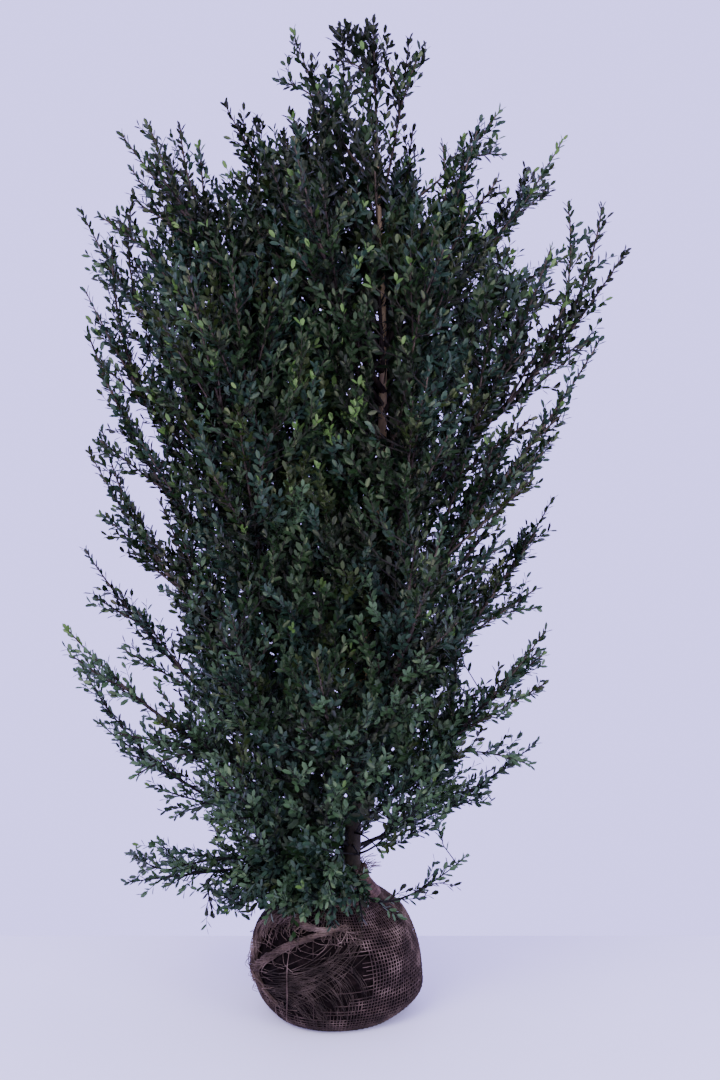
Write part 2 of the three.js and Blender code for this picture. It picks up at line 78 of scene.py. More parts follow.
# The stems, by points on their middle line, with the radius at the foot and at the tip.
FOOT_DEPTH = 0.012
STEMS = {
    "trunk": {
        "line": [[0.033, 0, BALL_HEIGHT - FOOT_DEPTH], [0.050, 0, 0.600], [0.070, 0.006, 0.900],
                 [0.104, 0, 1.260], [0.108, 0, 1.660], [0.096, 0, 1.960]],
        "foot": 0.021,
        "tip": 0.004,
        "leader": [0.086, 0, 2.287],
    },
    "second_stem": {
        "line": [[-0.045, 0.016, BALL_HEIGHT - FOOT_DEPTH], [-0.084, 0.030, 0.560], [-0.128, 0.034, 0.960],
                 [-0.178, 0.024, 1.440]],
        "foot": 0.015,
        "tip": 0.0045,
        "leader": [-0.416, 0.030, 2.050],
    },
}
ROOT_FLARE = {"wider": 0.5, "length": 0.07}

# Tips of the limbs that make the crown's outline, as [reach, height] where the line of sight passes over the
# middle of the plant, and tips of the thin branches between them, as [across, height].
LEFT_TIPS = np.array([
    [0.496, 0.300], [0.556, 0.689], [0.621, 0.907], [0.577, 1.095], [0.562, 1.320], [0.530, 1.500],
    [0.562, 1.683], [0.571, 1.864], [0.474, 2.028], [0.243, 2.094], [0.091, 2.251],
])
RIGHT_TIPS = np.array([
    [0.306, 0.362], [0.470, 0.640], [0.487, 0.905], [0.498, 1.211], [0.510, 1.421],
    [0.601, 1.575], [0.654, 1.771], [0.510, 2.018], [0.324, 2.057], [0.166, 2.234],
])
FINER_TIPS = [
    [-0.293, 0.225], [-0.482, 0.372], [-0.470, 0.560], [-0.590, 0.820], [-0.532, 1.371], [-0.560, 1.590],
    [-0.500, 1.800], [-0.416, 2.050], [-0.344, 2.044], [-0.177, 2.061], [-0.121, 2.143], [-0.030, 2.136],
    [0.002, 2.191], [0.036, 2.229], [0.060, 2.170], [0.028, 2.120], [0.072, 2.245], [0.110, 2.190],
    [0.185, 2.193], [0.175, 2.039], [0.242, 2.004], [0.374, 1.985], [0.431, 1.941], [0.524, 1.875],
    [0.600, 1.871], [0.560, 1.660], [0.430, 1.296], [0.455, 1.148], [0.467, 0.959], [0.485, 0.853],
    [0.456, 0.586], [0.340, 0.513], [-0.400, 0.330], [-0.420, 0.405], [-0.380, 0.460], [-0.527, 1.850],
    [-0.486, 1.838], [-0.455, 1.880], [0.487, 1.780], [0.530, 1.765], [-0.541, 1.175],
]
FINER_FORK = 0.5
OUTLINE_SIDES = [("left", LEFT_TIPS, -1), ("right", RIGHT_TIPS, 1)]

# How far tips lie behind the middle of the plant, or in front of it if below 0, as shares of their reach.
SWINGS = [-0.18, 0.34, -0.5, 0.08, 0.55, -0.34]

# The limbs that the outline doesn't show: to the front and the back, between the others, and round the stems.
DEEP = {"limbs": 13, "reach": 0.490, "ends": 0.8, "lowest": 0.430, "highest": 1.960, "fan": 130}
BETWEEN = {"reach": [0.66, 0.36], "depth": [0.34, 0.58], "from": 1.5, "to": 2.2, "drop": [-0.02, 0.16]}
INNER = {"limbs": 8, "reach": 0.270, "climb": 0.230, "lowest": 0.16, "highest": 0.84, "bearings": 24}
FILLING = {"limbs": 10, "lowest": 0.05, "highest": 0.98}
ROOM_SHARES = [0.35, 0.6, 1]

# Where limbs fork off and how they bend, and the bend of one that droops. Long ones start with a bare bough.
CROWN = {"foot": 0.250, "top": 2.290}
LOWEST_FORK = 0.345
FORK_POWER = 2.1
SECOND_STEM_SIDE = {"within": -0.100, "up_to": 0.95}
BOW = {"out": 0.56, "up": 0.3}
DROOPING = {"right_1": [0.060, -0.240, 0.240]}
LONG_LIMB = 0.720
BOUGH_SHARE = 0.24
LIMB_TAPER = {"per_length": 0.0105, "least": 0.0026, "tip": 0.0013}
FINE_TAPER = {"per_length": 0.004, "least": 0.0018}
CHAIN_STEPS = 8
LINE_STEPS = 60
STEM_STEPS = 240

# Branches that rise beside long limbs, low ones at the feet of the stems, and a skirt of them over the ball.
SIDE_LIMBS = {"shares": [0.34, 0.46, 0.58, 0.70], "jitter": 0.04, "on_limbs_over": 0.45,
              "reach": [0.50, 0.86], "spread": [10, 24], "lift": 0.10, "lower": 0.045}
LOW_BRANCHES = {"count": 30, "from": 70, "to": 300, "height": [0.335, 0.50], "reach": [0.12, 0.26],
                "bend_out": 0.5, "bend_up": [0.10, 0.32], "rise": [-0.30, 0.35]}
SKIRT = {"count": 30, "from": 166, "to": 304, "more_left": 1.5, "foot": 0.345, "bend_out": 0.75,
         "above": 0.365, "height": [0.255, 0.325], "beyond": [0.030, 0.060],
         "to_the_left": 0.14, "left_power": 3}

# Twigs on limbs and bare stems, and shoots on the twigs: their spacing, length, angle and turn to the light.
TWIGS = {"step": 0.0260, "length": 0.150, "least": 0.020, "long_ones": 0.4, "others": [0.35, 0.8],
         "on_fine": 0.75, "spread": 30, "jitter": [-8, 8], "lift": 0.62, "last": 0.82}
FIRST_TWIG = {"after_bough": 0.06, "on_stem": 0.22}
LOW_AND_FLAT = {"below": 0.5, "flatness": 0.7}
STEM_TWIGS = {"step": 0.022, "length": 0.36, "share": [0.5, 1], "from": 0.12, "to": 0.97}
SHOOTS = {"step": 0.034, "length": 0.074, "least": 0.018, "share": [0.55, 1.35], "shorter_out": 0.55,
          "spread": 28, "jitter": [-10, 10], "lift": 0.50, "from": 0.22, "to": 0.94}
TWIG_TUBES = {"rings": 4, "foot": 0.0017, "tip": 0.0008}
SHOOT_TUBES = {"rings": 2, "foot": 0.0010, "tip": 0.0006}
SHORTER_TRIES = [1, 0.75, 0.5]
ALWAYS_FITS = 0.055

# Sides of the tubes for twigs and yarns, and where lines take another axis to stand off from.
TUBE_SIDES = 3
NEARLY_UPRIGHT = 0.9
MOSTLY_FORWARD = 0.7

# More twigs in the dense middle, from the nearest limb, to places that lie apart and have no twig yet.
FILL = {"tries": 60000, "apart": 0.048, "feet": 24, "from": 0.05, "to": 0.97, "shortest": 0.07,
        "longest": 0.28, "ahead": 0.72}

# How far shoots lean outwards at each height, for each metre from the middle.
FAN = {"middle": 0.03, "heights": [0.3, 0.6, 1.0, 1.6, 2.2], "leans": [3.2, 2.2, 1.7, 1.35, 0.9]}

# The dense middle of the crown, as [reach to the left, to the right, to front and back, height], how far
# branches reach to front and back, as [depth, height], and how square both are, seen from above.
DENSE_CORE = np.array([
    [0.31, 0.03, 0.20, 0.24], [0.29, 0.04, 0.21, 0.34], [0.28, 0.06, 0.23, 0.42], [0.29, 0.21, 0.25, 0.46],
    [0.31, 0.28, 0.28, 0.52], [0.33, 0.30, 0.31, 0.60], [0.35, 0.30, 0.34, 0.79], [0.37, 0.31, 0.35, 0.98],
    [0.36, 0.25, 0.36, 1.07], [0.37, 0.24, 0.36, 1.20], [0.39, 0.29, 0.37, 1.30], [0.42, 0.36, 0.37, 1.44],
    [0.43, 0.44, 0.36, 1.58], [0.44, 0.47, 0.35, 1.68], [0.42, 0.38, 0.32, 1.78], [0.34, 0.24, 0.27, 1.87],
    [0.20, 0.15, 0.20, 1.96], [0.09, 0.12, 0.13, 2.05], [0.02, 0.11, 0.08, 2.15], [0.002, 0.095, 0.04, 2.25],
])
DEPTH_REACH = np.array([[0.30, 0.30], [0.40, 0.43], [0.49, 1.20], [0.42, 1.90], [0.10, 2.27]])
SQUARENESS = {"core": 2.5, "reach": 4}
REACH_SHARE = 0.98
LOWEST_LEAF = 0.20
BOX_MARGIN = 0.030
CLOTH_CLEARANCE = 0.016

# Stretches of the trunk that show between the boughs, as [from, to, clear to the left, clear to the right].
TRUNK_WINDOWS = [[0.34, 0.44, 0.018, 0.070], [1.36, 1.69, 0.019, 0.013], [1.79, 1.89, 0.012, 0.010]]

# Leaves: their size and spacing, how they stand off the shoot and turn to the light, and crowd at its tip.
LEAVES = {"step": 0.0084, "length": 0.0232, "width": 0.0102, "share": [0.8, 1.15], "smaller_tips": 0.2,
          "smaller_power": 8, "spread": 41, "tip_spread": 28, "spread_power": 5, "jitter": [-9, 9],
          "crowded_tips": 1.3, "outward": 0.8, "to_light": [0.0, 0.8], "untidy": 0.46}
FIRST_LEAF = {"twigs": 0.18, "shoots": 0.10}
LEAFY_LIMB = {"from": 0.45, "short_from": 0.225, "size": 1.05}
SHADED = {"within": 0.55, "kept": 0.5, "size": 1.5}
LEAVES_IN_PIECE = 24000

# A leaf's corners, as [along, across, up] for a leaf of length 1 and width 1: a low middle, then the edge.
LEAF_SHAPE = np.array([
    [0.52, 0, -0.10],
    [0, 0, 0], [0.32, 0.43, 0.03], [0.74, 0.46, 0.02],
    [1, 0, -0.12], [0.74, -0.46, 0.02], [0.32, -0.43, 0.03],
])
LEAF_EDGE = np.arange(1, len(LEAF_SHAPE))
LEAF_FACES = np.stack([np.zeros_like(LEAF_EDGE), np.roll(LEAF_EDGE, -1), LEAF_EDGE], axis=-1)

# Kinds of leaf, by colour. A twig and most of its shoots have one kind, and some shoots end in fresh leaves.
LEAF_COLOURS = {
    "deep": (0.0030, 0.0080, 0.0028),
    "green": (0.0090, 0.0260, 0.0070),
    "bluish": (0.0140, 0.0355, 0.0205),
    "olive": (0.0150, 0.0270, 0.0050),
    "light": (0.0370, 0.0760, 0.0310),
    "fresh": (0.0620, 0.1250, 0.0250),
}
KINDS = list(LEAF_COLOURS)
BLUISH = KINDS.index("bluish")
LIGHT = KINDS.index("light")
FRESH = KINDS.index("fresh")
KIND_BOUNDS = [0.37, 0.60, 0.80, 0.92]
# Leaves near the middle of the crown take darker kinds and outer leaves lighter ones: painted shade inside,
# painted light outside.
CLUMPS = {"scale": 6.5, "strength": 1.1, "mixed": 0.34, "crown": 0.5, "inner": 0.7, "painted_shade_in_light_out": 0.2}
OWN_KIND = 0.25

# Where bluish and light leaves are more common, and fresh tips: low down or high up, in the outer crown, and
# in patches, as [x, z, radius] seen from the front. The bluish and light leaves low down are painted light,
# for the floor's bounce light and the sheen on the low leaves.
LOW_PAINTED_LIGHT = {"from": 1.1, "to": 0.45, "most": 0.62, "light": 0.52}
LIGHT_PATCHES = [[-0.580, 0.860, 0.110], [-0.460, 0.760, 0.090], [-0.330, 0.620, 0.110]]
LIGHT_IN_PATCHES = 0.75
FRESH_TIPS = {"beyond": 0.92, "inside": 0.006, "outer": 0.17, "from": 1.0, "over": 0.8, "least": 0.2,
              "in_patches": 0.35}
FRESH_PATCHES = [[-0.570, 1.860, 0.090], [-0.300, 2.020, 0.090], [-0.020, 1.460, 0.090],
                 [0.480, 1.960, 0.100]]
FRESH_FROM = {"shoot": 0.78, "limb": 0.93}

# Bark meshes, with ridges and knots of the bark as [scale round, scale along, shift, depth], and how many
# radii a swelling at the foot of a limb takes to fade.
TRUNK_BARK = {"step": 0.006, "sides": 24, "relief": 0.09, "swelling": 0}
LIMB_BARK = {"rings": 40, "sides": 7, "relief": 0.14, "swelling": 0.5}
FINE_BARK = {"rings": 14, "sides": 4, "relief": 0.14, "swelling": 0.5}
BARK_RELIEF = [[2.6, 22, 0, 0.6], [1.1, 9, 7, 0.7]]
SWOLLEN_RADII = 2

# The hessian's weave: yarns up and round the ball, with a hole torn in it at the front left. Three waves, as
# [depth, scale], make the edge of the hole uneven.
WEAVE = {"pitch": 0.0082, "columns": 152, "fray": 0.34, "radius": 0.0013, "thickness": [0.75, 1.2],
         "relief": 0.0008, "lift": 0.0005, "wander": 0.10, "slant": 2.5, "slant_scale": 14, "sag": 0.005,
         "sags": 3, "sag_shift": 0.21, "lowest": 0.0015, "shortest": 2}
TORN = {"bearing": 246, "half_width": 46, "height": 0.140, "half_height": 0.092}
TORN_EDGE = [[3, 90], [2.5, 0.7], [0.004, 0.35]]

# Loose yarns over the hole. They start near the line between two places, as [bearing, height], and go on from
# there by degrees across and metres up, at distances off the ball.
STRANDS = {"rings": 16, "jitter": [0.12, 0.0002], "lowest": 0.002, "thickness": [0.7, 1.2],
           "lift": [0.6, 1.3]}
ARCS = {"count": 64, "first": [217, 0.078], "last": [258, 0.176], "stray": [3.2, 0.008], "size": [0.8, 1.3],
        "radius": 0.00048, "turn": 0.12, "across": [0, 10, 20, 27, 31, 33], "end_turns": 9,
        "up": [0, 0.009, 0.004, -0.018, -0.048, -0.080], "off": [0.001, 0.005, 0.008, 0.008, 0.005, 0.001]}
CROSSING = {"count": 30, "first": [214, 0.060], "last": [236, 0.140], "stray": [3.5, 0.010],
            "size": [0.7, 1.2], "radius": 0.00044, "turn": 0.3, "across": [0, 10, 21, 31, 38],
            "up": [0, 0.010, 0.008, -0.006, -0.026], "off": [0.001, 0.004, 0.006, 0.005, 0.002]}
THREADS = {"count": 26, "right": [262, 296], "left": [206, 240], "high": [0.19, 0.25], "low": [0.06, 0.14],
           "bend": 4, "sag": [0.0, 0.03], "off": [0.002, 0.007, 0.004], "radius": 0.0007}

# One long yarn that hangs down over the hole, by points as [bearing, height, distance off the ball].
LONG_DROP = [[221, 0.268, 0.012], [232, 0.236, 0.016], [238, 0.190, 0.014], [239, 0.120, 0.012],
             [237, 0.060, 0.008], [231, 0.012, 0.004]]
LONG_DROP_RADIUS = 0.0011

# The rolled edges of the hole, along places as [bearing, height], with their turns of twist and thickness,
# and the yarns that fray out of them.
HEM_EDGES = [
    {"line": [[228, 0.256], [208, 0.236], [199, 0.196], [201, 0.146], [214, 0.096], [230, 0.058]],
     "turns": 1.6, "radius": 0.0175},
    {"line": [[203, 0.122], [216, 0.158], [231, 0.196], [248, 0.224], [264, 0.240], [280, 0.250]],
     "turns": -1.6, "radius": 0.0095},
    {"line": [[203, 0.240], [214, 0.256], [230, 0.254], [244, 0.246], [262, 0.243], [280, 0.246]],
     "turns": 2.2, "radius": 0.0120},
]
HEM = {"tip": 0.003, "lift": 0.006, "rings": 44, "yarns": 74, "wander": 0.12, "inner": 0.25, "bunched": 0.4,
       "bunches": 17, "shift": 6, "ends_early": 18, "shortest": 6, "parts": 0.4, "yarn": [0.0008, 0.0016]}
FRAYS = {"count": 66, "radius": 0.0006, "across": [0, 0.5, 1], "spread": 9, "up": [0, 0.6, 1],
         "rise": -0.010, "uneven": 0.018, "off": [0.006, 0.014, 0.006], "lift": [0.5, 1.6]}

# The gathered neck: section as [radius, height], pleats and rim as [number, shift, depth], and the fringe.
NECK_OUTLINE = [[0.050, 0.300], [0.106, 0.279], [0.092, 0.295], [0.078, 0.311], [0.068, 0.334],
                [0.058, 0.336]]
NECK = {"sides": 192, "rings": 30, "pleat": 0.0100, "flat_below": 0.284, "top": 0.336}
PLEATS = [[5, 0, 0.5], [13, 1, 0.35], [29, 2, 0.25]]
RIM = {"wave": [7, 0.5, 0.006], "ragged": [-0.003, 0.003]}
FRINGE = {"count": 320, "ring": [0.060, 0.074], "height": [0.312, 0.334], "lean": [-0.3, 1.2], "rings": 5,
          "length": [0.012, 0.034], "curl": 0.5, "above": 0.012, "radius": [0.0006, 0.0012]}

# The soil: its depth under the cloth, and lumps, as [scale, depth], that are larger where it is bare.
SOIL = {"columns": 144, "rows": 72, "depth": -0.0030, "under": 0.0005, "lumps": [[38, 0.004], [150, 0.002]],
        "bare": 1.6, "covered": 0.8, "from_floor": 0.012, "from_top": 0.01}

# Colours of bark, yarn and soil, as dark, middle and light. The stems' bark is far lighter than the limbs'
# bark:
# painted light, for the light that falls on the trunk between the boughs. The foot of the plant stands in its
# own shade.
BARKS = {
    # Painted light: the stems' bark is much lighter than the limbs', for the light that falls on the trunk.
    "bark": [(0.195, 0.140, 0.070), (0.510, 0.378, 0.185), (0.740, 0.585, 0.330)],
    "limb_bark": [(0.016, 0.011, 0.008), (0.048, 0.034, 0.024), (0.110, 0.080, 0.056)],
    "twig_bark": [(0.008, 0.007, 0.005), (0.020, 0.016, 0.011), (0.050, 0.042, 0.026)],
}
DARK_BARK = {"below": 0.5, "shade": (0.045, 0.046, 0.052)}
YARNS = {
    "hessian_yarn": [(0.012, 0.007, 0.006), (0.052, 0.033, 0.026), (0.170, 0.118, 0.092)],
    "hessian_loose": [(0.014, 0.010, 0.007), (0.038, 0.027, 0.019), (0.106, 0.076, 0.056)],
    "hessian_frayed": [(0.040, 0.026, 0.019), (0.112, 0.076, 0.056), (0.250, 0.182, 0.138)],
    "hessian_gathered": [(0.035, 0.019, 0.014), (0.105, 0.060, 0.044), (0.230, 0.145, 0.110)],
}
SOIL_COLOURS = [(0.0018, 0.0010, 0.0008), (0.0050, 0.0030, 0.0025), (0.0140, 0.0085, 0.0070)]

# Looks of the materials: noise as [scale, detail, stretch], the places of colours on it, and bumps as
# [strength, depth].
LEAF_LOOK = {"roughness": 0.42, "shine": 0.36, "tint": (0.96, 1.0, 0.60, 1), "patches": [90, 4],
             "rougher": [0.34, 0.52], "grain": [260, 2], "bump": [0.25, 0.0012]}
BARK_LOOK = {"roughness": 0.8, "shine": 0.2, "streaks": [34, 8, (1, 1, 0.22)], "places": [0.30, 0.52, 0.74],
             "pores": 170, "bump": [0.6, 0.0015]}
SOIL_LOOK = {"colour": (0.01, 0.006, 0.005), "roughness": 0.95, "shine": 0.05, "patches": [60, 10],
             "places": [0.32, 0.55, 0.75], "grain": [240, 6], "bump": [0.8, 0.004]}
YARN_LOOK = {"roughness": 0.92, "shine": 0.15, "sheen": 0.06, "patches": [26, 10],
             "places": [0.30, 0.52, 0.72], "grain": [700, 4, (1, 1, 0.3)], "bump": [0.7, 0.0008]}
CLOTH_LOOK = {"upright": 76, "level": 1100, "bump": [0.8, 0.0012]}
FLOOR_LOOK = {"colour": (0.82, 0.79, 0.92), "roughness": 0.6, "shine": 0.5, "patches": [1.2, 4],
              "places": [0.3, 0.7], "colours": [(0.80, 0.77, 0.90), (0.85, 0.82, 0.94)]}

# How far the floor reaches to the sides, the front and the back, the backdrop's colour and the lights.
FLOOR = {"side": 6, "front": 7, "back": 0.42}
BACKDROP = (1.38, 1.20, 2.75, 1)
LIGHTS = {
    "key": {"place": (-2.4, -3.6, 4.2), "aim": (0, 0, 1.1), "size": 2.6, "power": 260,
            "colour": (1, 0.98, 1)},
    "fill": {"place": (3.2, -3.0, 1.6), "aim": (0, 0, 0.9), "size": 2.2, "power": 140,
             "colour": (0.96, 1, 0.98)},
}


def unit(vectors):
    return vectors / np.maximum(np.linalg.norm(vectors, axis=-1, keepdims=True), TINY)


def lerp(start, end, share):
    return start + (end - start) * share


def between(random, low, high, count=None):
    return low + (high - low) * random.random(count)


def interpolate(at, places, points):
    """Points on a line through points that stand at the given places."""
    return np.stack([np.interp(at, places, column) for column in points.T], axis=-1)


def heading(bearing):
    """The level directions of bearings in degrees."""
    angle = np.radians(bearing)
    return np.stack([np.cos(angle), np.sin(angle), np.zeros(len(angle))], axis=-1)


def spiral(random, count):
    """Turns in a spiral along one line, from a turn by chance."""
    return random.random() * FULL_TURN + np.arange(count) * GOLDEN_ANGLE


def spirals(random, count, owner, order):
    """Turns in a spiral along each of many lines, by the number of the line and of the place on it."""
    return random.random(count)[owner] * FULL_TURN + order * GOLDEN_ANGLE


def crowded(share):
    """Even shares of a shoot, moved up so that the leaves crowd at its tip."""
    return 1 - (1 - share) ** LEAVES["crowded_tips"]


class Line:
    """A middle line with a radius, as closely spaced points that are read by the distance along it."""

    def __init__(self, points, radii):
        self.points = np.asarray(points, float)
        self.radii = np.asarray(radii, float)
        steps = np.linalg.norm(np.diff(self.points, axis=0), axis=1)
        self.along = np.concatenate([[0], np.cumsum(steps)])
        self.length = self.along[-1]

    def at(self, share):
        return interpolate(np.asarray(share) * self.length, self.along, self.points)

    def tangent(self, share):
        small = 0.01
        return unit(self.at(np.minimum(np.asarray(share) + small, 1)) - self.at(np.maximum(share - small, 0)))

    def radius(self, share):
        return np.interp(np.asarray(share) * self.length, self.along, self.radii)

    def part(self, start, end):
        share = np.linspace(start, end, LINE_STEPS)
        return Line(self.at(share), self.radius(share))


def smooth_points(points, shares):
    """A centripetal curve through points, at shares of the number of its stretches."""
    points = np.asarray(points, float)
    padded = np.vstack([2 * points[0] - points[1], points, 2 * points[-1] - points[-2]])
    place = np.asarray(shares) * (len(points) - 1)
    first = np.minimum(place.astype(int), len(points) - 2)
    share = (place - first)[:, None]
    before, start, end, after = (padded[first + i] for i in range(4))
    pairs = (before, start), (start, end), (end, after)
    gap_before, gap, gap_after = (np.sqrt(np.linalg.norm(b - a, axis=1))[:, None] for a, b in pairs)
    leave = ((start - before) / gap_before - (end - before) / (gap_before + gap) + (end - start) / gap) * gap
    arrive = ((end - start) / gap - (after - start) / (gap + gap_after) + (after - end) / gap_after) * gap
    square, cube = share**2, share**3
    return (
        start * (2 * cube - 3 * square + 1)
        + leave * (cube - 2 * square + share)
        + end * (3 * square - 2 * cube)
        + arrive * (cube - square)
    )


def bezier(start, bend, end, share):
    """Points on many quadratic curves, at a row of shares for each."""
    share = share[..., None]
    start, bend, end = (corner[..., None, :] for corner in (start, bend, end))
    return start * (1 - share) ** 2 + bend * 2 * share * (1 - share) + end * share**2


def bezier_tangent(start, bend, end, share):
    share = share[..., None]
    start, bend, end = (corner[..., None, :] for corner in (start, bend, end))
    return unit((bend - start) * (1 - share) + (end - bend) * share)


def curves_of(rows):
    """Curves by their start, bend, end and length, from one row for each."""
    return dict(zip(("start", "bend", "end", "length"), map(np.array, zip(*rows))))


def points_along(curves, shares):
    """Points on every curve, at the same shares of each."""
    return bezier(curves["start"], curves["bend"], curves["end"], np.tile(shares, (len(curves["length"]), 1)))


def places_on(curves, owner, share):
    """One place on the curve that each owner's number names, and the way that the curve runs there."""
    corners = [curves[corner][owner] for corner in ("start", "bend", "end")]
    return bezier(*corners, share[:, None])[:, 0], bezier_tangent(*corners, share[:, None])[:, 0]


def spaced(lengths, first, last, step):
    """Even places along many lines: whose each one is, its number there and its share of the line."""
    counts = np.maximum(1, np.round((last - first) * lengths / step)).astype(int)
    owner = np.repeat(np.arange(len(lengths)), counts)
    order = np.arange(len(owner)) - np.repeat(np.cumsum(counts) - counts, counts)
    return owner, order, first + (last - first) * (order + 0.5) / counts[owner]


def grow_stems():
    """The trunk and the second stem, which widen towards the root ball."""
    shares = np.linspace(0, 1, STEM_STEPS)
    stems = {}
    for name, stem in STEMS.items():
        flare = ROOT_FLARE["wider"] * np.maximum(0, 1 - shares / ROOT_FLARE["length"]) ** 2
        radii = lerp(stem["foot"], stem["tip"], shares) * (1 + flare)
        stems[name] = Line(smooth_points(stem["line"], shares), radii)
    return stems


def point_at_height(line, height):
    return interpolate(height, line.points[:, 2], line.points)


def feet_on_stems(stems, heights):
    """Places at heights on the two stems, by turns."""
    turns = (stems["second_stem" if i % 2 else "trunk"] for i in range(len(heights)))
    return np.array([point_at_height(stem, height) for stem, height in zip(turns, heights)])


def tip_in_sight(i, across, height):
    """A tip that the viewer sees at a place, by turns in front of the middle of the plant and behind it."""
    swing = SWINGS[i % len(SWINGS)] * abs(across)
    return lerp(VIEWPOINT, np.array([across, 0, height]), 1 - swing / VIEWPOINT[1])


def limb_tips():
    """Where every limb of the outline ends, and of those to the front and the back."""
    tips = []
    for name, table, sign in OUTLINE_SIDES:
        for i, (reach, height) in enumerate(table):
            tips.append((f"{name}_{i + 1}", tip_in_sight(i, sign * reach, height)))
    for i in range(DEEP["limbs"]):
        climb = i / (DEEP["limbs"] - 1)
        front = i % 2 == 0
        fan_out = ((i * GOLDEN_SHARE) % 1 - 0.5) * DEEP["fan"]
        bearing = math.radians((-90 if front else 90) + fan_out)
        reach = DEEP["reach"] * lerp(DEEP["ends"], 1, math.sin(climb * math.pi))
        height = lerp(DEEP["lowest"], DEEP["highest"], climb)
        tip = np.array([math.cos(bearing) * reach, math.sin(bearing) * reach, height])
        tips.append((f"{'front' if front else 'back'}_{i // 2 + 1}", tip))
    return tips


def between_tips():
    """Where the shorter limbs end that fill the crown between those of the outline, in front and behind."""
    tips = []
    for name, table, sign in OUTLINE_SIDES:
        for i, (low, high) in enumerate(zip(table, table[1:])):
            reach, height = np.mean([low, high], axis=0)
            front = -1 if i % 2 else 1
            drop = np.interp(height, [BETWEEN["from"], BETWEEN["to"]], BETWEEN["drop"])
            for side, out, deep in zip((front, -front), BETWEEN["reach"], BETWEEN["depth"]):
                tip = [sign * reach * out, side * reach * deep, height - drop]
                tips.append((f"{name}_{i + 1}_between_{side}", np.array(tip)))
    return tips


def limb_from(name, stem, fork, tip):
    """A limb's middle line, from a height on its stem's middle to its tip, and how much of it is bare."""
    foot = point_at_height(stem, fork)
    bend = lerp(foot, tip, BOW["out"])
    bend[2] = lerp(foot[2], tip[2], BOW["up"])
    bend = np.array(DROOPING.get(name, bend))
    shares = np.linspace(0, 1, LINE_STEPS)
    points = bezier(foot, bend, tip, shares)
    length = np.linalg.norm(np.diff(points, axis=0), axis=1).sum()
    thick = max(LIMB_TAPER["least"], LIMB_TAPER["per_length"] * length)
    line = Line(points, lerp(thick, LIMB_TAPER["tip"], shares))
    return {"name": name, "line": line, "bare": BOUGH_SHARE if length > LONG_LIMB else 0}


def plan_limb(name, tip, stems):
    """Forks follow their tips up the stem. Low limbs on the left grow from the second stem."""
    climb = (tip[2] - CROWN["foot"]) / (CROWN["top"] - CROWN["foot"])
    fork = lerp(LOWEST_FORK, stems["trunk"].points[-1][2], climb**FORK_POWER)
    ends = smooth_points(STEMS["second_stem"]["line"], [SECOND_STEM_SIDE["up_to"]])[0][2]
    beside_second = tip[0] < SECOND_STEM_SIDE["within"] and fork < ends
    return limb_from(name, stems["second_stem" if beside_second else "trunk"], fork, tip)


def chain_of(line):
    """A middle line as the two ends and the radius of each of a few straight pieces."""
    place = np.linspace(0, len(line.points) - 1, CHAIN_STEPS + 1)
    numbers = np.arange(len(line.points))
    points = interpolate(place, numbers, line.points)
    return points[:-1], points[1:], np.interp(place[:-1], numbers, line.radii)


def room_at(point, chains):
    """How far a point lies from the nearest limb."""
    starts, ends, radii = (np.concatenate(part) for part in zip(*chains))
    lines = ends - starts
    share = np.clip(((point - starts) * lines).sum(1) / (lines**2).sum(1), 0, 1)
    return (np.linalg.norm(starts + lines * share[:, None] - point, axis=1) - radii).min()


def plan_inner_limb(name, stem, rise, limbs):
    """A short limb at a share of its stem's height, where it is furthest from the others."""
    fork = lerp(BALL_HEIGHT, stem.points[-1][2], rise)
    foot = point_at_height(stem, fork)
    chains = [chain_of(limb["line"]) for limb in limbs]
    place = np.array(ROOM_SHARES) * (LINE_STEPS - 1)
    choices = []
    for bearing in np.arange(INNER["bearings"]) * FULL_TURN / INNER["bearings"]:
        out = [math.cos(bearing) * INNER["reach"], math.sin(bearing) * INNER["reach"], INNER["climb"]]
        limb = limb_from(name, stem, fork, foot + out)
        points = interpolate(place, np.arange(LINE_STEPS), limb["line"].points)
        choices.append((min(room_at(point, chains) for point in points), len(choices), limb))
    return max(choices)[2]


def plan_limbs(stems):
    """Every limb of the crown: the stems' tips, the outline's limbs, those between them and those inside."""
    shares = np.linspace(0, 1, LINE_STEPS)
    limbs = []
    for name, stem in stems.items():
        points = lerp(stem.points[-1], np.array(STEMS[name]["leader"]), shares[:, None])
        line = Line(points, lerp(stem.radii[-1], LIMB_TAPER["tip"], shares))
        limbs.append({"name": f"{name}_tip", "line": line, "bare": 0, "leads": True})
    limbs += [plan_limb(name, tip, stems) for name, tip in limb_tips() + between_tips()]
    rises = list(np.linspace(INNER["lowest"], INNER["highest"], INNER["limbs"]))
    shares_up = [i * GOLDEN_SHARE % 1 for i in range(FILLING["limbs"])]
    rises += [lerp(FILLING["lowest"], FILLING["highest"], share) for share in shares_up]
    for i, rise in enumerate(rises):
        stem = stems["second_stem" if i % 2 else "trunk"]
        limbs.append(plan_inner_limb(f"inner_{i + 1}", stem, rise, limbs))
    return limbs


BALL_PROFILE = smooth_points(BALL_OUTLINE, np.linspace(0, 1, BALL_STEPS))


def ball_radius(height):
    return np.interp(height, BALL_PROFILE[:, 1], BALL_PROFILE[:, 0])


def near_ball(points):
    low = points[:, 2] < BALL_HEIGHT + CLOTH_CLEARANCE
    radius = np.hypot(points[:, 0], points[:, 1])
    return low & (radius < ball_radius(points[:, 2]) + CLOTH_CLEARANCE)


def inside(points):
    """True within the reach of the outline's tips."""
    x, y, z = points.T
    tables = LEFT_TIPS, RIGHT_TIPS, DEPTH_REACH
    left, right, depth = (np.interp(z, table[:, 1], table[:, 0]) for table in tables)
    across = np.where(x < 0, left, right)
    power = SQUARENESS["reach"]
    within = (x / across) ** power + (y / depth) ** power < REACH_SHARE**power
    return within & (z < CROWN["top"]) & (z > LOWEST_LEAF)


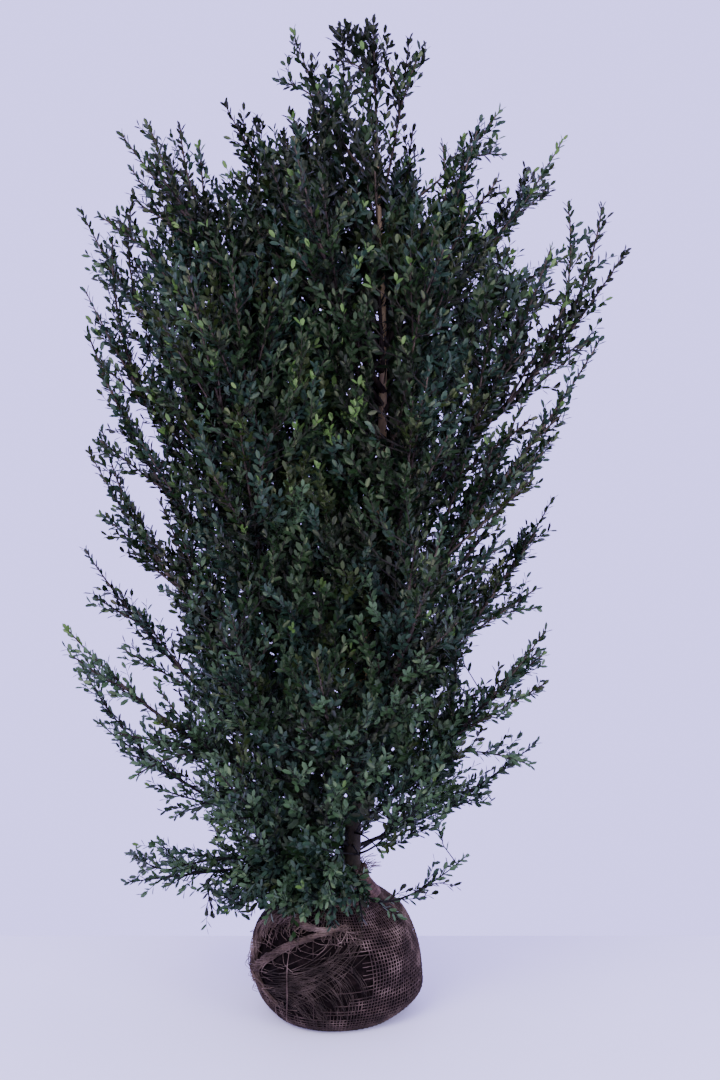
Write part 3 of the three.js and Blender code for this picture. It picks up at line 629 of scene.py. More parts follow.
def in_core(points, share=1):
    """True in the dense middle of the crown, beyond which only the ends of limbs stand out."""
    x, y, z = points.T
    left, right, depth = (np.interp(z, DENSE_CORE[:, 3], DENSE_CORE[:, i]) for i in range(3))
    across = np.where(x < 0, left, right)
    power = SQUARENESS["core"]
    within = np.abs(x / across) ** power + np.abs(y / depth) ** power < share**power
    return within & (z < DENSE_CORE[-1, 3]) & (z > LOWEST_LEAF)


def in_reach(points):
    """True within the reach of the solids, with a little room to spare."""
    low, high = (np.array(corner) for corner in CAD_BOX)
    return ((points > low - BOX_MARGIN) & (points < high + BOX_MARGIN)).all(axis=1)


def hides_trunk(trunk, points):
    """True for what the viewer sees in front of the stretches of trunk that show between the boughs."""
    share = -VIEWPOINT[1] / (points[:, 1] - VIEWPOINT[1])
    seen = VIEWPOINT + (points - VIEWPOINT) * share[:, None]
    beside = seen[:, 0] - np.interp(seen[:, 2], trunk.points[:, 2], trunk.points[:, 0])
    hidden = np.zeros(len(points), bool)
    for low, high, left, right in TRUNK_WINDOWS:
        hidden |= (beside > -left) & (beside < right) & (seen[:, 2] > low) & (seen[:, 2] < high)
    return hidden & (points[:, 1] < 0)


def fan(points):
    """The way that shoots point at a place: upright in the middle, and leaning out at the sides."""
    out = points * [1, 1, 0] - [FAN["middle"], 0, 0]
    lean = np.interp(points[:, 2], FAN["heights"], FAN["leans"])
    return unit(UP + out * lean[:, None])


def leaving(along, turn, spread):
    """The directions that leave lines at an angle, turned about them, and the way that a leaf there faces."""
    reference = np.where(np.abs(along[:, 2:]) < NEARLY_UPRIGHT, UP, [1.0, 0, 0])
    side = unit(np.cross(along, reference))
    out = side * np.cos(turn)[:, None] + np.cross(along, side) * np.sin(turn)[:, None]
    angle = np.radians(spread)[:, None]
    return along * np.cos(angle) + out * np.sin(angle), along * np.sin(angle) - out * np.cos(angle)


def grow(foot, along, turn, spread, length, lift, fits_in=in_core):
    """Shoots that leave their lines at an angle and turn the way of the fan, shorter where the crown ends."""
    direction, _ = leaving(along, turn, spread)
    lifted = unit(lerp(direction, fan(foot), lift[:, None]))
    share = np.zeros(len(foot))
    for shorter in SHORTER_TRIES:
        end = foot + (direction + lifted) * (length * shorter / 2)[:, None]
        fits = (fits_in(end) | (length * shorter < ALWAYS_FITS)) & in_reach(end) & ~near_ball(end)
        share[fits & (share == 0)] = shorter
    kept = share > 0
    half = (length * share / 2)[kept, None]
    bend = foot[kept] + direction[kept] * half
    shoots = {"start": foot[kept], "bend": bend, "end": bend + lifted[kept] * half, "length": 2 * half[:, 0]}
    return shoots, kept


def limbs_on_curves(curves):
    """Thin limbs without bare boughs, one on each curve."""
    shares = np.linspace(0, 1, LINE_STEPS)
    found = []
    for points, length in zip(points_along(curves, shares), curves["length"]):
        thick = FINE_TAPER["least"] + FINE_TAPER["per_length"] * length
        line = Line(points, lerp(thick, TWIG_TUBES["foot"], shares))
        found.append({"line": line, "bare": 0, "fine": True})
    return found


def grow_side_limbs(random, limbs):
    """Narrow groups of nearly parallel branches that rise beside the outer half of every long limb."""
    count, jitter = len(SIDE_LIMBS["shares"]), SIDE_LIMBS["jitter"]
    found = []
    for line in [limb["line"] for limb in limbs]:
        if line.length < SIDE_LIMBS["on_limbs_over"]:
            continue
        share = np.array(SIDE_LIMBS["shares"]) + between(random, -jitter, jitter, count)
        turn = spiral(random, count)
        length = line.length * (1 - share) * between(random, *SIDE_LIMBS["reach"], count)
        spread = between(random, *SIDE_LIMBS["spread"], count)
        lift = np.full(count, SIDE_LIMBS["lift"])
        grown, _ = grow(line.at(share), line.tangent(share), turn, spread, length, lift, inside)
        lower = grown["end"][:, 2] < line.points[-1][2] - SIDE_LIMBS["lower"]
        found += limbs_on_curves({key: column[lower] for key, column in grown.items()})
    return found


def grow_to_finer_tips(limbs):
    """Thin branches to the outline's smaller tips, each from the middle of the limb that ends nearest."""
    rows = []
    for i, (across, height) in enumerate(FINER_TIPS):
        tip = tip_in_sight(i, across, height)
        line = min(limbs, key=lambda limb: np.linalg.norm(limb["line"].points[-1] - tip))["line"]
        start = line.at(FINER_FORK)
        length = np.linalg.norm(tip - start)
        rows.append((start, start + line.tangent(FINER_FORK) * length / 2, tip, length))
    return limbs_on_curves(curves_of(rows))


def grow_low_branches(random, stems):
    """Thin, flat branches from the feet of the stems, which spread and hang over the ball."""
    count = LOW_BRANCHES["count"]
    height = between(random, *LOW_BRANCHES["height"], count)
    out = heading(lerp(LOW_BRANCHES["from"], LOW_BRANCHES["to"], np.arange(count) * GOLDEN_SHARE % 1))
    foot = feet_on_stems(stems, height)
    reach = between(random, *LOW_BRANCHES["reach"], count)[:, None]
    bend_up, rise = (between(random, *LOW_BRANCHES[name], count)[:, None] for name in ("bend_up", "rise"))
    bend = foot + out * reach * LOW_BRANCHES["bend_out"] + UP * reach * bend_up
    end = foot + out * reach + UP * reach * rise
    curves = {"start": foot, "bend": bend, "end": end, "length": reach[:, 0]}
    kept = inside(end) & ~near_ball(end)
    return limbs_on_curves({key: column[kept] for key, column in curves.items()})


def grow_skirt(random, stems):
    """Thin branches that hang over the shoulder of the ball, at the front and the left."""
    count = SKIRT["count"]
    share = ((np.arange(count) + random.random(count)) / count) ** SKIRT["more_left"]
    out = heading(lerp(SKIRT["from"], SKIRT["to"], share))
    height = between(random, *SKIRT["height"], count)
    beyond = between(random, *SKIRT["beyond"], count)
    beyond += SKIRT["to_the_left"] * np.maximum(0, -out[:, 0]) ** SKIRT["left_power"] * random.random(count)
    reach = (ball_radius(height) + beyond)[:, None]
    foot = feet_on_stems(stems, np.full(count, SKIRT["foot"]))
    bend = out * reach * SKIRT["bend_out"] + UP * SKIRT["above"]
    end = out * reach + UP * height[:, None]
    return limbs_on_curves({"start": foot, "bend": bend, "end": end, "length": reach[:, 0]})


def grow_twigs(random, limbs, stems):
    """The twigs along every limb and along the bare stems between them."""
    rows = []
    for limb in limbs:
        line, fine = limb["line"], limb.get("fine")
        close = limb["bare"] or limb.get("leads") or fine
        first = limb["bare"] + FIRST_TWIG["after_bough" if close else "on_stem"]
        count = int((TWIGS["last"] - first) * line.length / TWIGS["step"])
        share = first + (TWIGS["last"] - first) * (np.arange(count) + 0.5) / count
        longest = TWIGS["length"] * (TWIGS["on_fine"] if fine else 1)
        tapering = (1 - share) / (1 - first) * longest + TWIGS["least"]
        flat = LOW_AND_FLAT["flatness"] * (line.points[-1][2] < LOW_AND_FLAT["below"])
        turn = spiral(random, count)
        long = random.random(count) < TWIGS["long_ones"]
        length = tapering * np.where(long, 1, between(random, *TWIGS["others"], count))
        lift = np.full(count, TWIGS["lift"] * (1 - flat))
        rows.append((line.at(share), line.tangent(share), turn, length, lift))
    for stem in stems.values():
        count = int((STEM_TWIGS["to"] - STEM_TWIGS["from"]) * stem.length / STEM_TWIGS["step"])
        share = np.linspace(STEM_TWIGS["from"], STEM_TWIGS["to"], count)
        turn = spiral(random, count)
        length = STEM_TWIGS["length"] * between(random, *STEM_TWIGS["share"], count)
        rows.append((stem.at(share), stem.tangent(share), turn, length, np.full(count, TWIGS["lift"])))
    foot, along, turn, length, lift = map(np.concatenate, zip(*rows))
    spread = TWIGS["spread"] + between(random, *TWIGS["jitter"], len(foot))
    twigs, kept = grow(foot, along, turn, spread, length, lift)
    return twigs | {"lift": lift[kept]}


def open_places(random, twigs):
    """Places in the dense middle, by chance, that lie apart from the twigs' ends and from each other."""
    places = lerp(*(np.array(corner) for corner in CAD_BOX), random.random((FILL["tries"], 3)))
    places = places[in_core(places) & ~near_ball(places)]
    first = count = len(twigs["end"])
    taken = np.vstack([twigs["end"], np.empty_like(places)])
    for place in places:
        if ((taken[:count] - place) ** 2).sum(axis=1).min() > FILL["apart"] ** 2:
            taken[count] = place
            count += 1
    return taken[first:count]


def fill_core(random, limbs, twigs):
    """More twigs, to places that no twig has reached, from the nearest limb."""
    share = np.linspace(FILL["from"], FILL["to"], FILL["feet"])
    feet = np.vstack([limb["line"].at(share) for limb in limbs])
    rows = []
    for end in open_places(random, twigs):
        away = end - feet
        distance = np.linalg.norm(away, axis=1)
        way = fan(end[None])[0]
        ahead = away @ way / distance
        suits = (distance > FILL["shortest"]) & (distance < FILL["longest"]) & (ahead > FILL["ahead"])
        if suits.any():
            i = np.argmin(np.where(suits, distance, np.inf))
            rows.append((feet[i], end - way * distance[i] / 2, end, distance[i]))
    return curves_of(rows) | {"lift": np.full(len(rows), TWIGS["lift"])}


def grow_shoots(random, twigs):
    """Shorter shoots along every twig, numbered by their twig."""
    owner, order, share = spaced(twigs["length"], SHOOTS["from"], SHOOTS["to"], SHOOTS["step"])
    foot, along = places_on(twigs, owner, share)
    turn = spirals(random, len(twigs["length"]), owner, order)
    spread = SHOOTS["spread"] + between(random, *SHOOTS["jitter"], len(foot))
    length = SHOOTS["length"] * (1 - SHOOTS["shorter_out"] * share)
    length = length * between(random, *SHOOTS["share"], len(foot))
    lift = twigs["lift"][owner] * SHOOTS["lift"] / TWIGS["lift"]
    shoots, kept = grow(foot, along, turn, spread, length + SHOOTS["least"], lift)
    return shoots | {"owner": owner[kept]}


def leaf_sites(random, foot, along, turn, share, size):
    """Where leaves sit, which way they point and face, and how long they are."""
    spread = lerp(LEAVES["spread"], LEAVES["tip_spread"], share ** LEAVES["spread_power"])
    direction, face = leaving(along, turn, spread + between(random, *LEAVES["jitter"], len(foot)))
    light = unit(UP + unit(foot * [1, 1, 0]) * LEAVES["outward"])
    face = face + light * between(random, *LEAVES["to_light"], len(foot))[:, None]
    face = face + random.normal(0, LEAVES["untidy"], face.shape)
    face = unit(face - direction * (face * direction).sum(axis=1, keepdims=True))
    length = LEAVES["length"] * size * between(random, *LEAVES["share"], len(foot))
    length = length * (1 - LEAVES["smaller_tips"] * share ** LEAVES["smaller_power"])
    return {"base": foot, "direction": direction, "face": face, "length": length}


def leaves_along(random, shoots, first):
    """Leaves in a spiral along every shoot."""
    owner, order, share = spaced(shoots["length"], first, 1, LEAVES["step"])
    share = first + (1 - first) * crowded((share - first) / (1 - first))
    foot, along = places_on(shoots, owner, share)
    turn = spirals(random, len(shoots["length"]), owner, order)
    size = np.where(in_core(foot, SHADED["within"]), SHADED["size"], 1)
    kind = np.where(share > FRESH_FROM["shoot"], shoots["tip_kind"][owner], shoots["kind"][owner])
    return leaf_sites(random, foot, along, turn, share, size) | {"kind": kind}


def leaves_on_limbs(random, limbs):
    """Leaves along the last, thin part of every limb."""
    found = []
    for line in [limb["line"] for limb in limbs]:
        first = LEAFY_LIMB["from" if line.length > SIDE_LIMBS["on_limbs_over"] else "short_from"]
        count = int((1 - first) * line.length / LEAVES["step"])
        share = first + (1 - first) * crowded((np.arange(count) + 0.5) / count)
        turn = np.arange(count) * GOLDEN_ANGLE
        sites = leaf_sites(random, line.at(share), line.tangent(share), turn, share, LEAFY_LIMB["size"])
        tip = line.points[-1:]
        kind = pick_kinds(random, tip)
        tip_kind = pick_tip_kinds(random, tip, kind)
        found.append(sites | {"kind": np.where(share > FRESH_FROM["limb"], tip_kind, kind)})
    return found


def in_patches(points, patches):
    """True for points that the viewer sees in one of the named places."""
    seen = np.zeros(len(points), bool)
    for x, z, radius in patches:
        seen |= np.hypot(points[:, 0] - x, points[:, 2] - z) < radius
    return seen


def pick_kinds(random, points):
    """The kind of leaf of each shoot: darker inside as painted shade and lighter further out as painted
    light, lighter here and there and in patches, and bluish and lighter low down as painted light.
    """
    count = len(points)
    outwards = np.hypot(points[:, 0], points[:, 1]) / CLUMPS["crown"] - CLUMPS["inner"]
    clumps = np.array([noise.noise(Vector(point) * CLUMPS["scale"]) for point in points])
    drawn = lerp(0.5 + CLUMPS["strength"] * clumps, random.random(count), CLUMPS["mixed"])
    # Painted shade and light: kinds are darker towards the middle of the crown and lighter towards its
    # outside.
    kinds = np.digitize(drawn + CLUMPS["painted_shade_in_light_out"] * outwards, KIND_BOUNDS)
    # Painted light: more bluish and light leaves low down, for the floor's bounce light and the sheen on the
    # low leaves.
    low = np.clip((points[:, 2] - LOW_PAINTED_LIGHT["from"]) / (LOW_PAINTED_LIGHT["to"] - LOW_PAINTED_LIGHT["from"]), 0, 1)
    kinds = np.where(random.random(count) < low * LOW_PAINTED_LIGHT["most"], BLUISH, kinds)
    kinds = np.where(random.random(count) < low * LOW_PAINTED_LIGHT["light"], LIGHT, kinds)
    light = in_patches(points, LIGHT_PATCHES) & (random.random(count) < LIGHT_IN_PATCHES)
    return np.where(light, LIGHT, kinds)


def pick_tip_kinds(random, points, kinds):
    """Some shoots end in fresh leaves: more of them near the top and in patches."""
    outer = ~in_core(points, FRESH_TIPS["beyond"])
    height = np.clip((points[:, 2] - FRESH_TIPS["from"]) / FRESH_TIPS["over"], FRESH_TIPS["least"], 1)
    chance = FRESH_TIPS["inside"] + FRESH_TIPS["outer"] * outer * height
    chance = np.where(in_patches(points, FRESH_PATCHES), FRESH_TIPS["in_patches"], chance)
    return np.where(random.random(len(points)) < chance, FRESH, kinds)


class Pieces:
    """Meshes, as vertices and triangles, that are gathered into one."""

    def __init__(self, *meshes):
        self.vertices, self.triangles, self.count = [], [], 0
        for mesh in meshes:
            self.add(*mesh)

    def add(self, vertices, triangles):
        self.vertices.append(vertices.reshape(-1, 3))
        self.triangles.append(triangles.reshape(-1, 3) + self.count)
        self.count += len(self.vertices[-1])

    def add_tubes(self, points, radii):
        self.add(*tubes(points, radii, TUBE_SIDES))

    def build(self, name, material, slot):
        vertices, triangles = np.vstack(self.vertices), np.vstack(self.triangles)
        mesh = bpy.data.meshes.new(name)
        mesh.vertices.add(len(vertices))
        mesh.vertices.foreach_set("co", vertices.astype(np.float32).ravel())
        mesh.loops.add(triangles.size)
        mesh.loops.foreach_set("vertex_index", triangles.astype(np.int32).ravel())
        mesh.polygons.add(len(triangles))
        mesh.polygons.foreach_set("loop_start", np.arange(len(triangles), dtype=np.int32) * 3)
        mesh.polygons.foreach_set("use_smooth", np.ones(len(triangles), bool))
        mesh.update(calc_edges=True)
        mesh.materials.append(material)
        piece = bpy.data.objects.new(name, mesh)
        bpy.context.scene.collection.objects.link(piece)
        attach(piece, "root")
        return piece


def tubes(points, radii, sides):
    """Closed tubes along rows of points, all with the same number of rings."""
    count, rings = points.shape[:2]
    tangent = unit(np.gradient(points, axis=1))
    chord = unit(points[:, -1] - points[:, 0])
    reference = np.where(np.abs(chord[:, 1:2]) < MOSTLY_FORWARD, [0.0, 1.0, 0.0], [1.0, 0.0, 0.0])[:, None]
    side = unit(np.cross(reference, tangent))[:, :, None]
    across = np.cross(side, tangent[:, :, None])
    angle = (np.arange(sides) * FULL_TURN / sides)[:, None]
    vertices = points[:, :, None] + (side * np.cos(angle) + across * np.sin(angle)) * radii[:, :, None, None]
    index = np.arange(count * rings * sides).reshape(count, rings, sides)
    beside = np.roll(index, -1, axis=2)
    low, low_beside, high, high_beside = index[:, :-1], beside[:, :-1], index[:, 1:], beside[:, 1:]
    faces = [np.stack([low, high, high_beside], -1), np.stack([low, high_beside, low_beside], -1)]
    for i in range(1, sides - 1):
        faces += [index[:, 0][:, [0, i, i + 1]], index[:, -1][:, [0, i + 1, i]]]
    return vertices, np.vstack([part.reshape(-1, 3) for part in faces])


def walls(low, high):
    """The triangles between closed rings of vertices and the rings above them, by the vertices' numbers."""
    low_beside, high_beside = np.roll(low, -1, axis=1), np.roll(high, -1, axis=1)
    faces = [np.stack([low, low_beside, high_beside], -1), np.stack([low, high_beside, high], -1)]
    return np.vstack([part.reshape(-1, 3) for part in faces])


def leaf_meshes(sites):
    """Leaves of six faces round a low middle: narrow at the foot and bent down at the tip."""
    across = np.cross(sites["face"], sites["direction"])
    leaf_axes = np.stack([sites["direction"], across, sites["face"]], axis=1)
    width = LEAVES["width"] / LEAVES["length"]
    scaled = LEAF_SHAPE * [1, width, width] * sites["length"][:, None, None]
    vertices = sites["base"][:, None] + np.einsum("nij,njk->nik", scaled, leaf_axes)
    start = np.arange(len(vertices))[:, None, None] * len(LEAF_SHAPE)
    return vertices, LEAF_FACES + start


def curved_tubes(curves, tube):
    """Middle lines and radii for a tapering tube along every curve."""
    share = np.linspace(0, 1, tube["rings"])
    points = points_along(curves, share)
    return points, lerp(tube["foot"], tube["tip"], share) * np.ones((len(points), 1))


def bark_tube(line, rings, look):
    """A limb with ridged, uneven bark, and a swelling where it leaves its stem."""
    sides = look["sides"]
    share = np.linspace(0, 1, rings)
    points, radii = line.at(share)[None], line.radius(share)
    radii = radii * (1 + look["swelling"] * np.exp(-share * line.length / (SWOLLEN_RADII * radii[0])))
    vertices, triangles = tubes(points, radii[None], sides)
    middle = np.repeat(points[0], sides, axis=0).reshape(vertices.shape[1:])
    out = unit(vertices[0] - middle)
    bumps = np.zeros(out.shape[:2])
    for place in np.ndindex(bumps.shape):
        for around, along, shift, depth in BARK_RELIEF:
            way = Vector(out[place]) * around + Vector((shift, 0, middle[place][2] * along))
            bumps[place] += noise.noise(way) * depth
    return vertices[0] + out * (bumps * radii[:, None] * look["relief"])[:, :, None], triangles


def on_ball(bearing, height, lift):
    """Points on the wrapped ball, from bearings in degrees, heights and how far they stand off it."""
    angle = np.radians(bearing)
    fade = np.clip((UNEVEN["below"] - height) / UNEVEN["fades_over"], 0, 1)
    fade = fade * np.clip(height / UNEVEN["from_floor"], 0, 1)
    lumps = sum(np.sin(number * angle + height / rise) * share for number, rise, share in BALL_WAVES["waves"])
    around = (np.degrees(angle) - BALL_BULGE["bearing"] + 180) % 360 - 180
    up = (height - BALL_BULGE["height"]) / BALL_BULGE["rise"]
    bulge = np.exp(-((around / BALL_BULGE["spread"]) ** 2) - up**2)
    uneven = BALL_WAVES["depth"] * fade * lumps
    radius = ball_radius(height) + uneven + BALL_BULGE["out"] * fade * bulge + lift
    return np.stack([np.cos(angle) * radius, np.sin(angle) * radius, height * np.ones_like(radius)], axis=-1)


def is_torn(bearing, height, fray=0):
    """True where the cloth is torn away from the soil, at the front left."""
    (ragged, ragged_scale), (notched, notched_scale), (wavy, wavy_scale) = TORN_EDGE
    shift = ragged * math.sin(height * ragged_scale) + notched * math.sin(bearing * notched_scale)
    across = (bearing - TORN["bearing"] + shift) / TORN["half_width"]
    up = (height - TORN["height"] + wavy * math.sin(bearing * wavy_scale)) / TORN["half_height"]
    return across**2 + up**2 < 1 + fray


def runs_of(present):
    """First and last places of each unbroken run that is long enough for a yarn."""
    edges = np.flatnonzero(np.diff(np.concatenate([[0], present.astype(int), [0]])))
    return [(start, end) for start, end in zip(edges[::2], edges[1::2]) if end - start > WEAVE["shortest"]]


def add_yarn(random, pieces, bearings, heights, over):
    """One yarn of the weave at places on the ball, 1 over or -1 under the others, but not in the hole."""
    fray = random.normal(0, WEAVE["fray"])
    present = np.array([not is_torn(b % 360, h, fray) for b, h in zip(bearings, heights)])
    points = on_ball(bearings, heights, WEAVE["lift"] + over * WEAVE["relief"])
    for start, end in runs_of(present):
        radii = WEAVE["radius"] * between(random, *WEAVE["thickness"], end - start)
        pieces.add_tubes(points[None, start:end], radii[None])


def weave_strands(random):
    """The hessian's yarns: upright ones that follow the ball to its neck, and level ones that go round it."""
    profile = Line(BALL_PROFILE, BALL_PROFILE[:, 0])
    rows, columns = int(profile.length / WEAVE["pitch"]), WEAVE["columns"]
    heights = profile.at((np.arange(rows) + 0.5) / rows)[:, 1]
    upright, level = Pieces(), Pieces()
    for column in range(columns):
        wander = np.cumsum(between(random, -1, 1, rows)) * WEAVE["wander"]
        slant = WEAVE["slant"] * np.sin(heights * WEAVE["slant_scale"])
        bearings = column * 360 / columns + wander - wander.mean() + slant
        add_yarn(random, upright, bearings, heights, np.where((np.arange(rows) + column) % 2, 1, -1))
    places = np.arange(columns + 1)
    bearings = places * 360 / columns + 180
    for row in range(rows):
        wave = np.sin(np.radians(bearings) * WEAVE["sags"] + row * WEAVE["sag_shift"])
        sagging = heights[row] + WEAVE["sag"] * wave * np.sin(math.pi * row / rows)
        row_heights = np.clip(sagging, WEAVE["lowest"], BALL_HEIGHT)
        add_yarn(random, level, bearings, row_heights, np.where((row + places) % 2, -1, 1))
    return upright, level


def loose_strand(random, bearings, heights, lift, radius):
    """One frayed yarn over the torn place, from a few places on the ball and how far they stand off it."""
    rings = STRANDS["rings"]
    path = smooth_points(np.stack([bearings, heights, lift], axis=-1), np.linspace(0, 1, rings))
    jitter = np.cumsum(random.normal(0, 1, (rings, 2)), axis=0) * STRANDS["jitter"]
    heights = np.clip(path[:, 1] + jitter[:, 1], STRANDS["lowest"], None)
    points = on_ball(path[:, 0] + jitter[:, 0], heights, path[:, 2])
    return points[None], (radius * between(random, *STRANDS["thickness"], rings))[None]


def stray_start(random, strands, share):
    """A place near the line from the first start to the last."""
    place = lerp(np.array(strands["first"]), np.array(strands["last"]), share)
    return place + random.normal(0, 1, 2) * strands["stray"]


def loose_strands(random):
    """Yarns that hang out of the weave: arcs from its torn edge, others across the hole, and thin threads."""
    pieces = Pieces()
    for i in range(ARCS["count"]):
        size = between(random, *ARCS["size"])
        bearing, height = stray_start(random, ARCS, i / (ARCS["count"] - 1))
        turn, longer = random.normal(0, ARCS["turn"], 2)
        across = np.array(ARCS["across"], float)
        across[-1] += ARCS["end_turns"] * turn
        up = np.array(ARCS["up"]) * size * (1 + longer)
        off = np.array(ARCS["off"]) * between(random, *STRANDS["lift"])
        pieces.add_tubes(*loose_strand(random, bearing + across * size, height + up, off, ARCS["radius"]))
    for _ in range(CROSSING["count"]):
        size = between(random, *CROSSING["size"])
        bearing, height = stray_start(random, CROSSING, random.random())
        across = np.array(CROSSING["across"]) * size
        up = np.array(CROSSING["up"]) * size * (1 + random.normal(0, CROSSING["turn"]))
        off = np.array(CROSSING["off"]) * between(random, *STRANDS["lift"])
        pieces.add_tubes(*loose_strand(random, bearing + across, height + up, off, CROSSING["radius"]))
    for _ in range(THREADS["count"]):
        right, left = between(random, *THREADS["right"]), between(random, *THREADS["left"])
        middle = (right + left) / 2 + random.normal(0, THREADS["bend"])
        high, low = between(random, *THREADS["high"]), between(random, *THREADS["low"])
        heights = [high, (high + low) / 2 - between(random, *THREADS["sag"]), low]
        strand = loose_strand(random, [right, middle, left], heights, THREADS["off"], THREADS["radius"])
        pieces.add_tubes(*strand)
    return pieces


def rolled_edges(random):
    """The thick frayed rolls at the torn edge: many yarns wound round each line, and one long loose yarn."""
    rolls = Pieces()
    for edge in HEM_EDGES:
        share = np.linspace(0, 1, HEM["rings"])
        middle = smooth_points(edge["line"], share)
        points = on_ball(middle[:, 0], middle[:, 1], HEM["lift"])
        tangent = unit(np.gradient(points, axis=0))
        across = unit(np.cross(tangent, unit(points * [1, 1, 0])))
        out = np.cross(across, tangent)
        thick = lerp(edge["radius"], HEM["tip"], share)
        for _ in range(HEM["yarns"]):
            angle = random.random() * FULL_TURN + edge["turns"] * FULL_TURN * share
            angle = angle + np.cumsum(random.normal(0, HEM["wander"], len(share)))
            depth = thick * math.sqrt(between(random, HEM["inner"], 1))
            bunches = np.sin(share * HEM["bunches"] + random.random() * HEM["shift"])
            depth = depth * (1 + HEM["bunched"] * bunches)
            offset = across * (np.cos(angle) * depth)[:, None] + out * (np.sin(angle) * depth)[:, None]
            most = HEM["rings"] - HEM["shortest"]
            start, end = 0, most - random.integers(HEM["ends_early"])
            if random.random() < HEM["parts"]:
                start, end = sorted(random.choice(most, 2))
            end += HEM["shortest"]
            radii = np.full(end - start, between(random, *HEM["yarn"]))
            rolls.add_tubes((points + offset)[None, start:end], radii[None])
        for _ in range(FRAYS["count"]):
            bearing, height = middle[random.integers(len(middle))]
            bearings = bearing + np.array(FRAYS["across"]) * random.normal(0, FRAYS["spread"])
            heights = height + np.array(FRAYS["up"]) * random.normal(FRAYS["rise"], FRAYS["uneven"])
            off = np.array(FRAYS["off"]) * between(random, *FRAYS["lift"])
            rolls.add_tubes(*loose_strand(random, bearings, heights, off, FRAYS["radius"]))
    rolls.add_tubes(*loose_strand(random, *np.transpose(LONG_DROP), LONG_DROP_RADIUS))
    return rolls


def gathered_neck(random):
    """The cloth pulled together round the stems: a closed, pleated band with a ragged rim."""
    outline = smooth_points(NECK_OUTLINE + NECK_OUTLINE[:1], np.linspace(0, 1, NECK["rings"] + 1))[:-1]
    bearing = np.arange(NECK["sides"]) * FULL_TURN / NECK["sides"]
    pleats = sum(depth * np.sin(number * bearing + shift) for number, shift, depth in PLEATS)
    number, shift, depth = RIM["wave"]
    rim = depth * np.sin(number * bearing + shift) + between(random, *RIM["ragged"], NECK["sides"])
    rise = np.clip((outline[:, 1] - NECK["flat_below"]) / (NECK["top"] - NECK["flat_below"]), 0, 1)
    radius = outline[:, :1] + NECK["pleat"] * pleats * rise[:, None]
    height = outline[:, 1:] + rim * rise[:, None] ** 2
    vertices = np.stack([np.cos(bearing) * radius, np.sin(bearing) * radius, height], axis=-1)
    index = np.arange(vertices[..., 0].size).reshape(vertices.shape[:2])
    return Pieces((vertices, walls(index, np.roll(index, -1, axis=0))))


def neck_fringe(random):
    """Short frayed yarns along the rim of the neck."""
    fringe = Pieces()
    share = np.linspace(0, 1, FRINGE["rings"])[:, None]
    for _ in range(FRINGE["count"]):
        bearing = random.random() * FULL_TURN
        out = np.array([math.cos(bearing), math.sin(bearing), 0])
        foot = out * between(random, *FRINGE["ring"]) + UP * between(random, *FRINGE["height"])
        lean = out * between(random, *FRINGE["lean"])
        length = between(random, *FRINGE["length"])
        side = random.normal(0, FRINGE["curl"], 3)
        points = foot + (UP + lean * share + side * share**2) * share * length
        points[:, 2] = np.minimum(points[:, 2], NECK["top"] + FRINGE["above"])
        fringe.add_tubes(points[None], np.full((1, FRINGE["rings"]), between(random, *FRINGE["radius"])))
    return fringe


def soil_ball():
    """The dark soil under the cloth, lumpy where it is bare."""
    columns, rows = SOIL["columns"], SOIL["rows"]
    vertices = []
    for _, height in smooth_points(BALL_OUTLINE, np.linspace(0, 1, rows)):
        edge = min(1, height / SOIL["from_floor"]) * min(1, max(0, BALL_HEIGHT - height) / SOIL["from_top"])
        for bearing in np.arange(columns) * 360 / columns:
            place = Vector(on_ball(bearing, height, 0.0))
            lumps = sum(depth * noise.noise(place * scale) for scale, depth in SOIL["lumps"])
            depth = SOIL["depth"] + lumps * SOIL["bare" if is_torn(bearing, height) else "covered"]
            vertices.append(on_ball(bearing, height, depth * edge - SOIL["under"]))
    index = np.arange(rows * columns).reshape(rows, columns)
    beside = np.roll(index, -1, axis=1)
    bottom, top = np.full(columns, len(vertices)), np.full(columns, len(vertices) + 1)
    vertices += [[0, 0, 0], [0, 0, BALL_HEIGHT]]
    ends = [np.stack([beside[0], index[0], bottom], -1), np.stack([index[-1], beside[-1], top], -1)]
    return Pieces((np.array(vertices), np.vstack([walls(index[:-1], index[1:]), *ends])))


def new_material(name, colour, look):
    """A material and its shader, with a plain colour, roughness and shine."""
    material = bpy.data.materials.new(name)
    material.use_nodes = True
    shader = material.node_tree.nodes["Principled BSDF"]
    shader.inputs["Base Color"].default_value = (*colour, 1)
    shader.inputs["Roughness"].default_value = look["roughness"]
    shader.inputs["Specular IOR Level"].default_value = look["shine"]
    return material, shader


def add_node(material, kind, inputs=(), **settings):
    """A node with its settings. An input is a value, or another node's output."""
    node = material.node_tree.nodes.new(kind)
    for name, value in settings.items():
        setattr(node, name, value)
    for name, value in dict(inputs).items():
        if isinstance(value, bpy.types.NodeSocket):
            material.node_tree.links.new(value, node.inputs[name])
        else:
            node.inputs[name].default_value = value
    return node


def math_node(material, operation, *inputs):
    return add_node(material, "ShaderNodeMath", enumerate(inputs), operation=operation).outputs[0]


def object_place(material):
    """Coordinates in the piece's own space."""
    return add_node(material, "ShaderNodeTexCoord").outputs["Object"]


def object_noise(material, scale, detail, stretch=(1, 1, 1)):
    """Noise in the piece's own space, which may be stretched."""
    inputs = {"Vector": object_place(material), "Scale": stretch}
    stretched = add_node(material, "ShaderNodeMapping", inputs).outputs["Vector"]
    inputs = {"Vector": stretched, "Scale": scale, "Detail": detail}
    return add_node(material, "ShaderNodeTexNoise", inputs).outputs[0]


def colour_ramp(material, factor, places, colours):
    ramp = add_node(material, "ShaderNodeValToRGB", {"Fac": factor})
    elements = ramp.color_ramp.elements
    for place in places[1:-1]:
        elements.new(place)
    for element, place, colour in zip(elements, places, colours):
        element.position = place
        element.color = (*colour, 1)
    return ramp.outputs["Color"]


def link(material, output, shader, name):
    material.node_tree.links.new(output, shader.inputs[name])


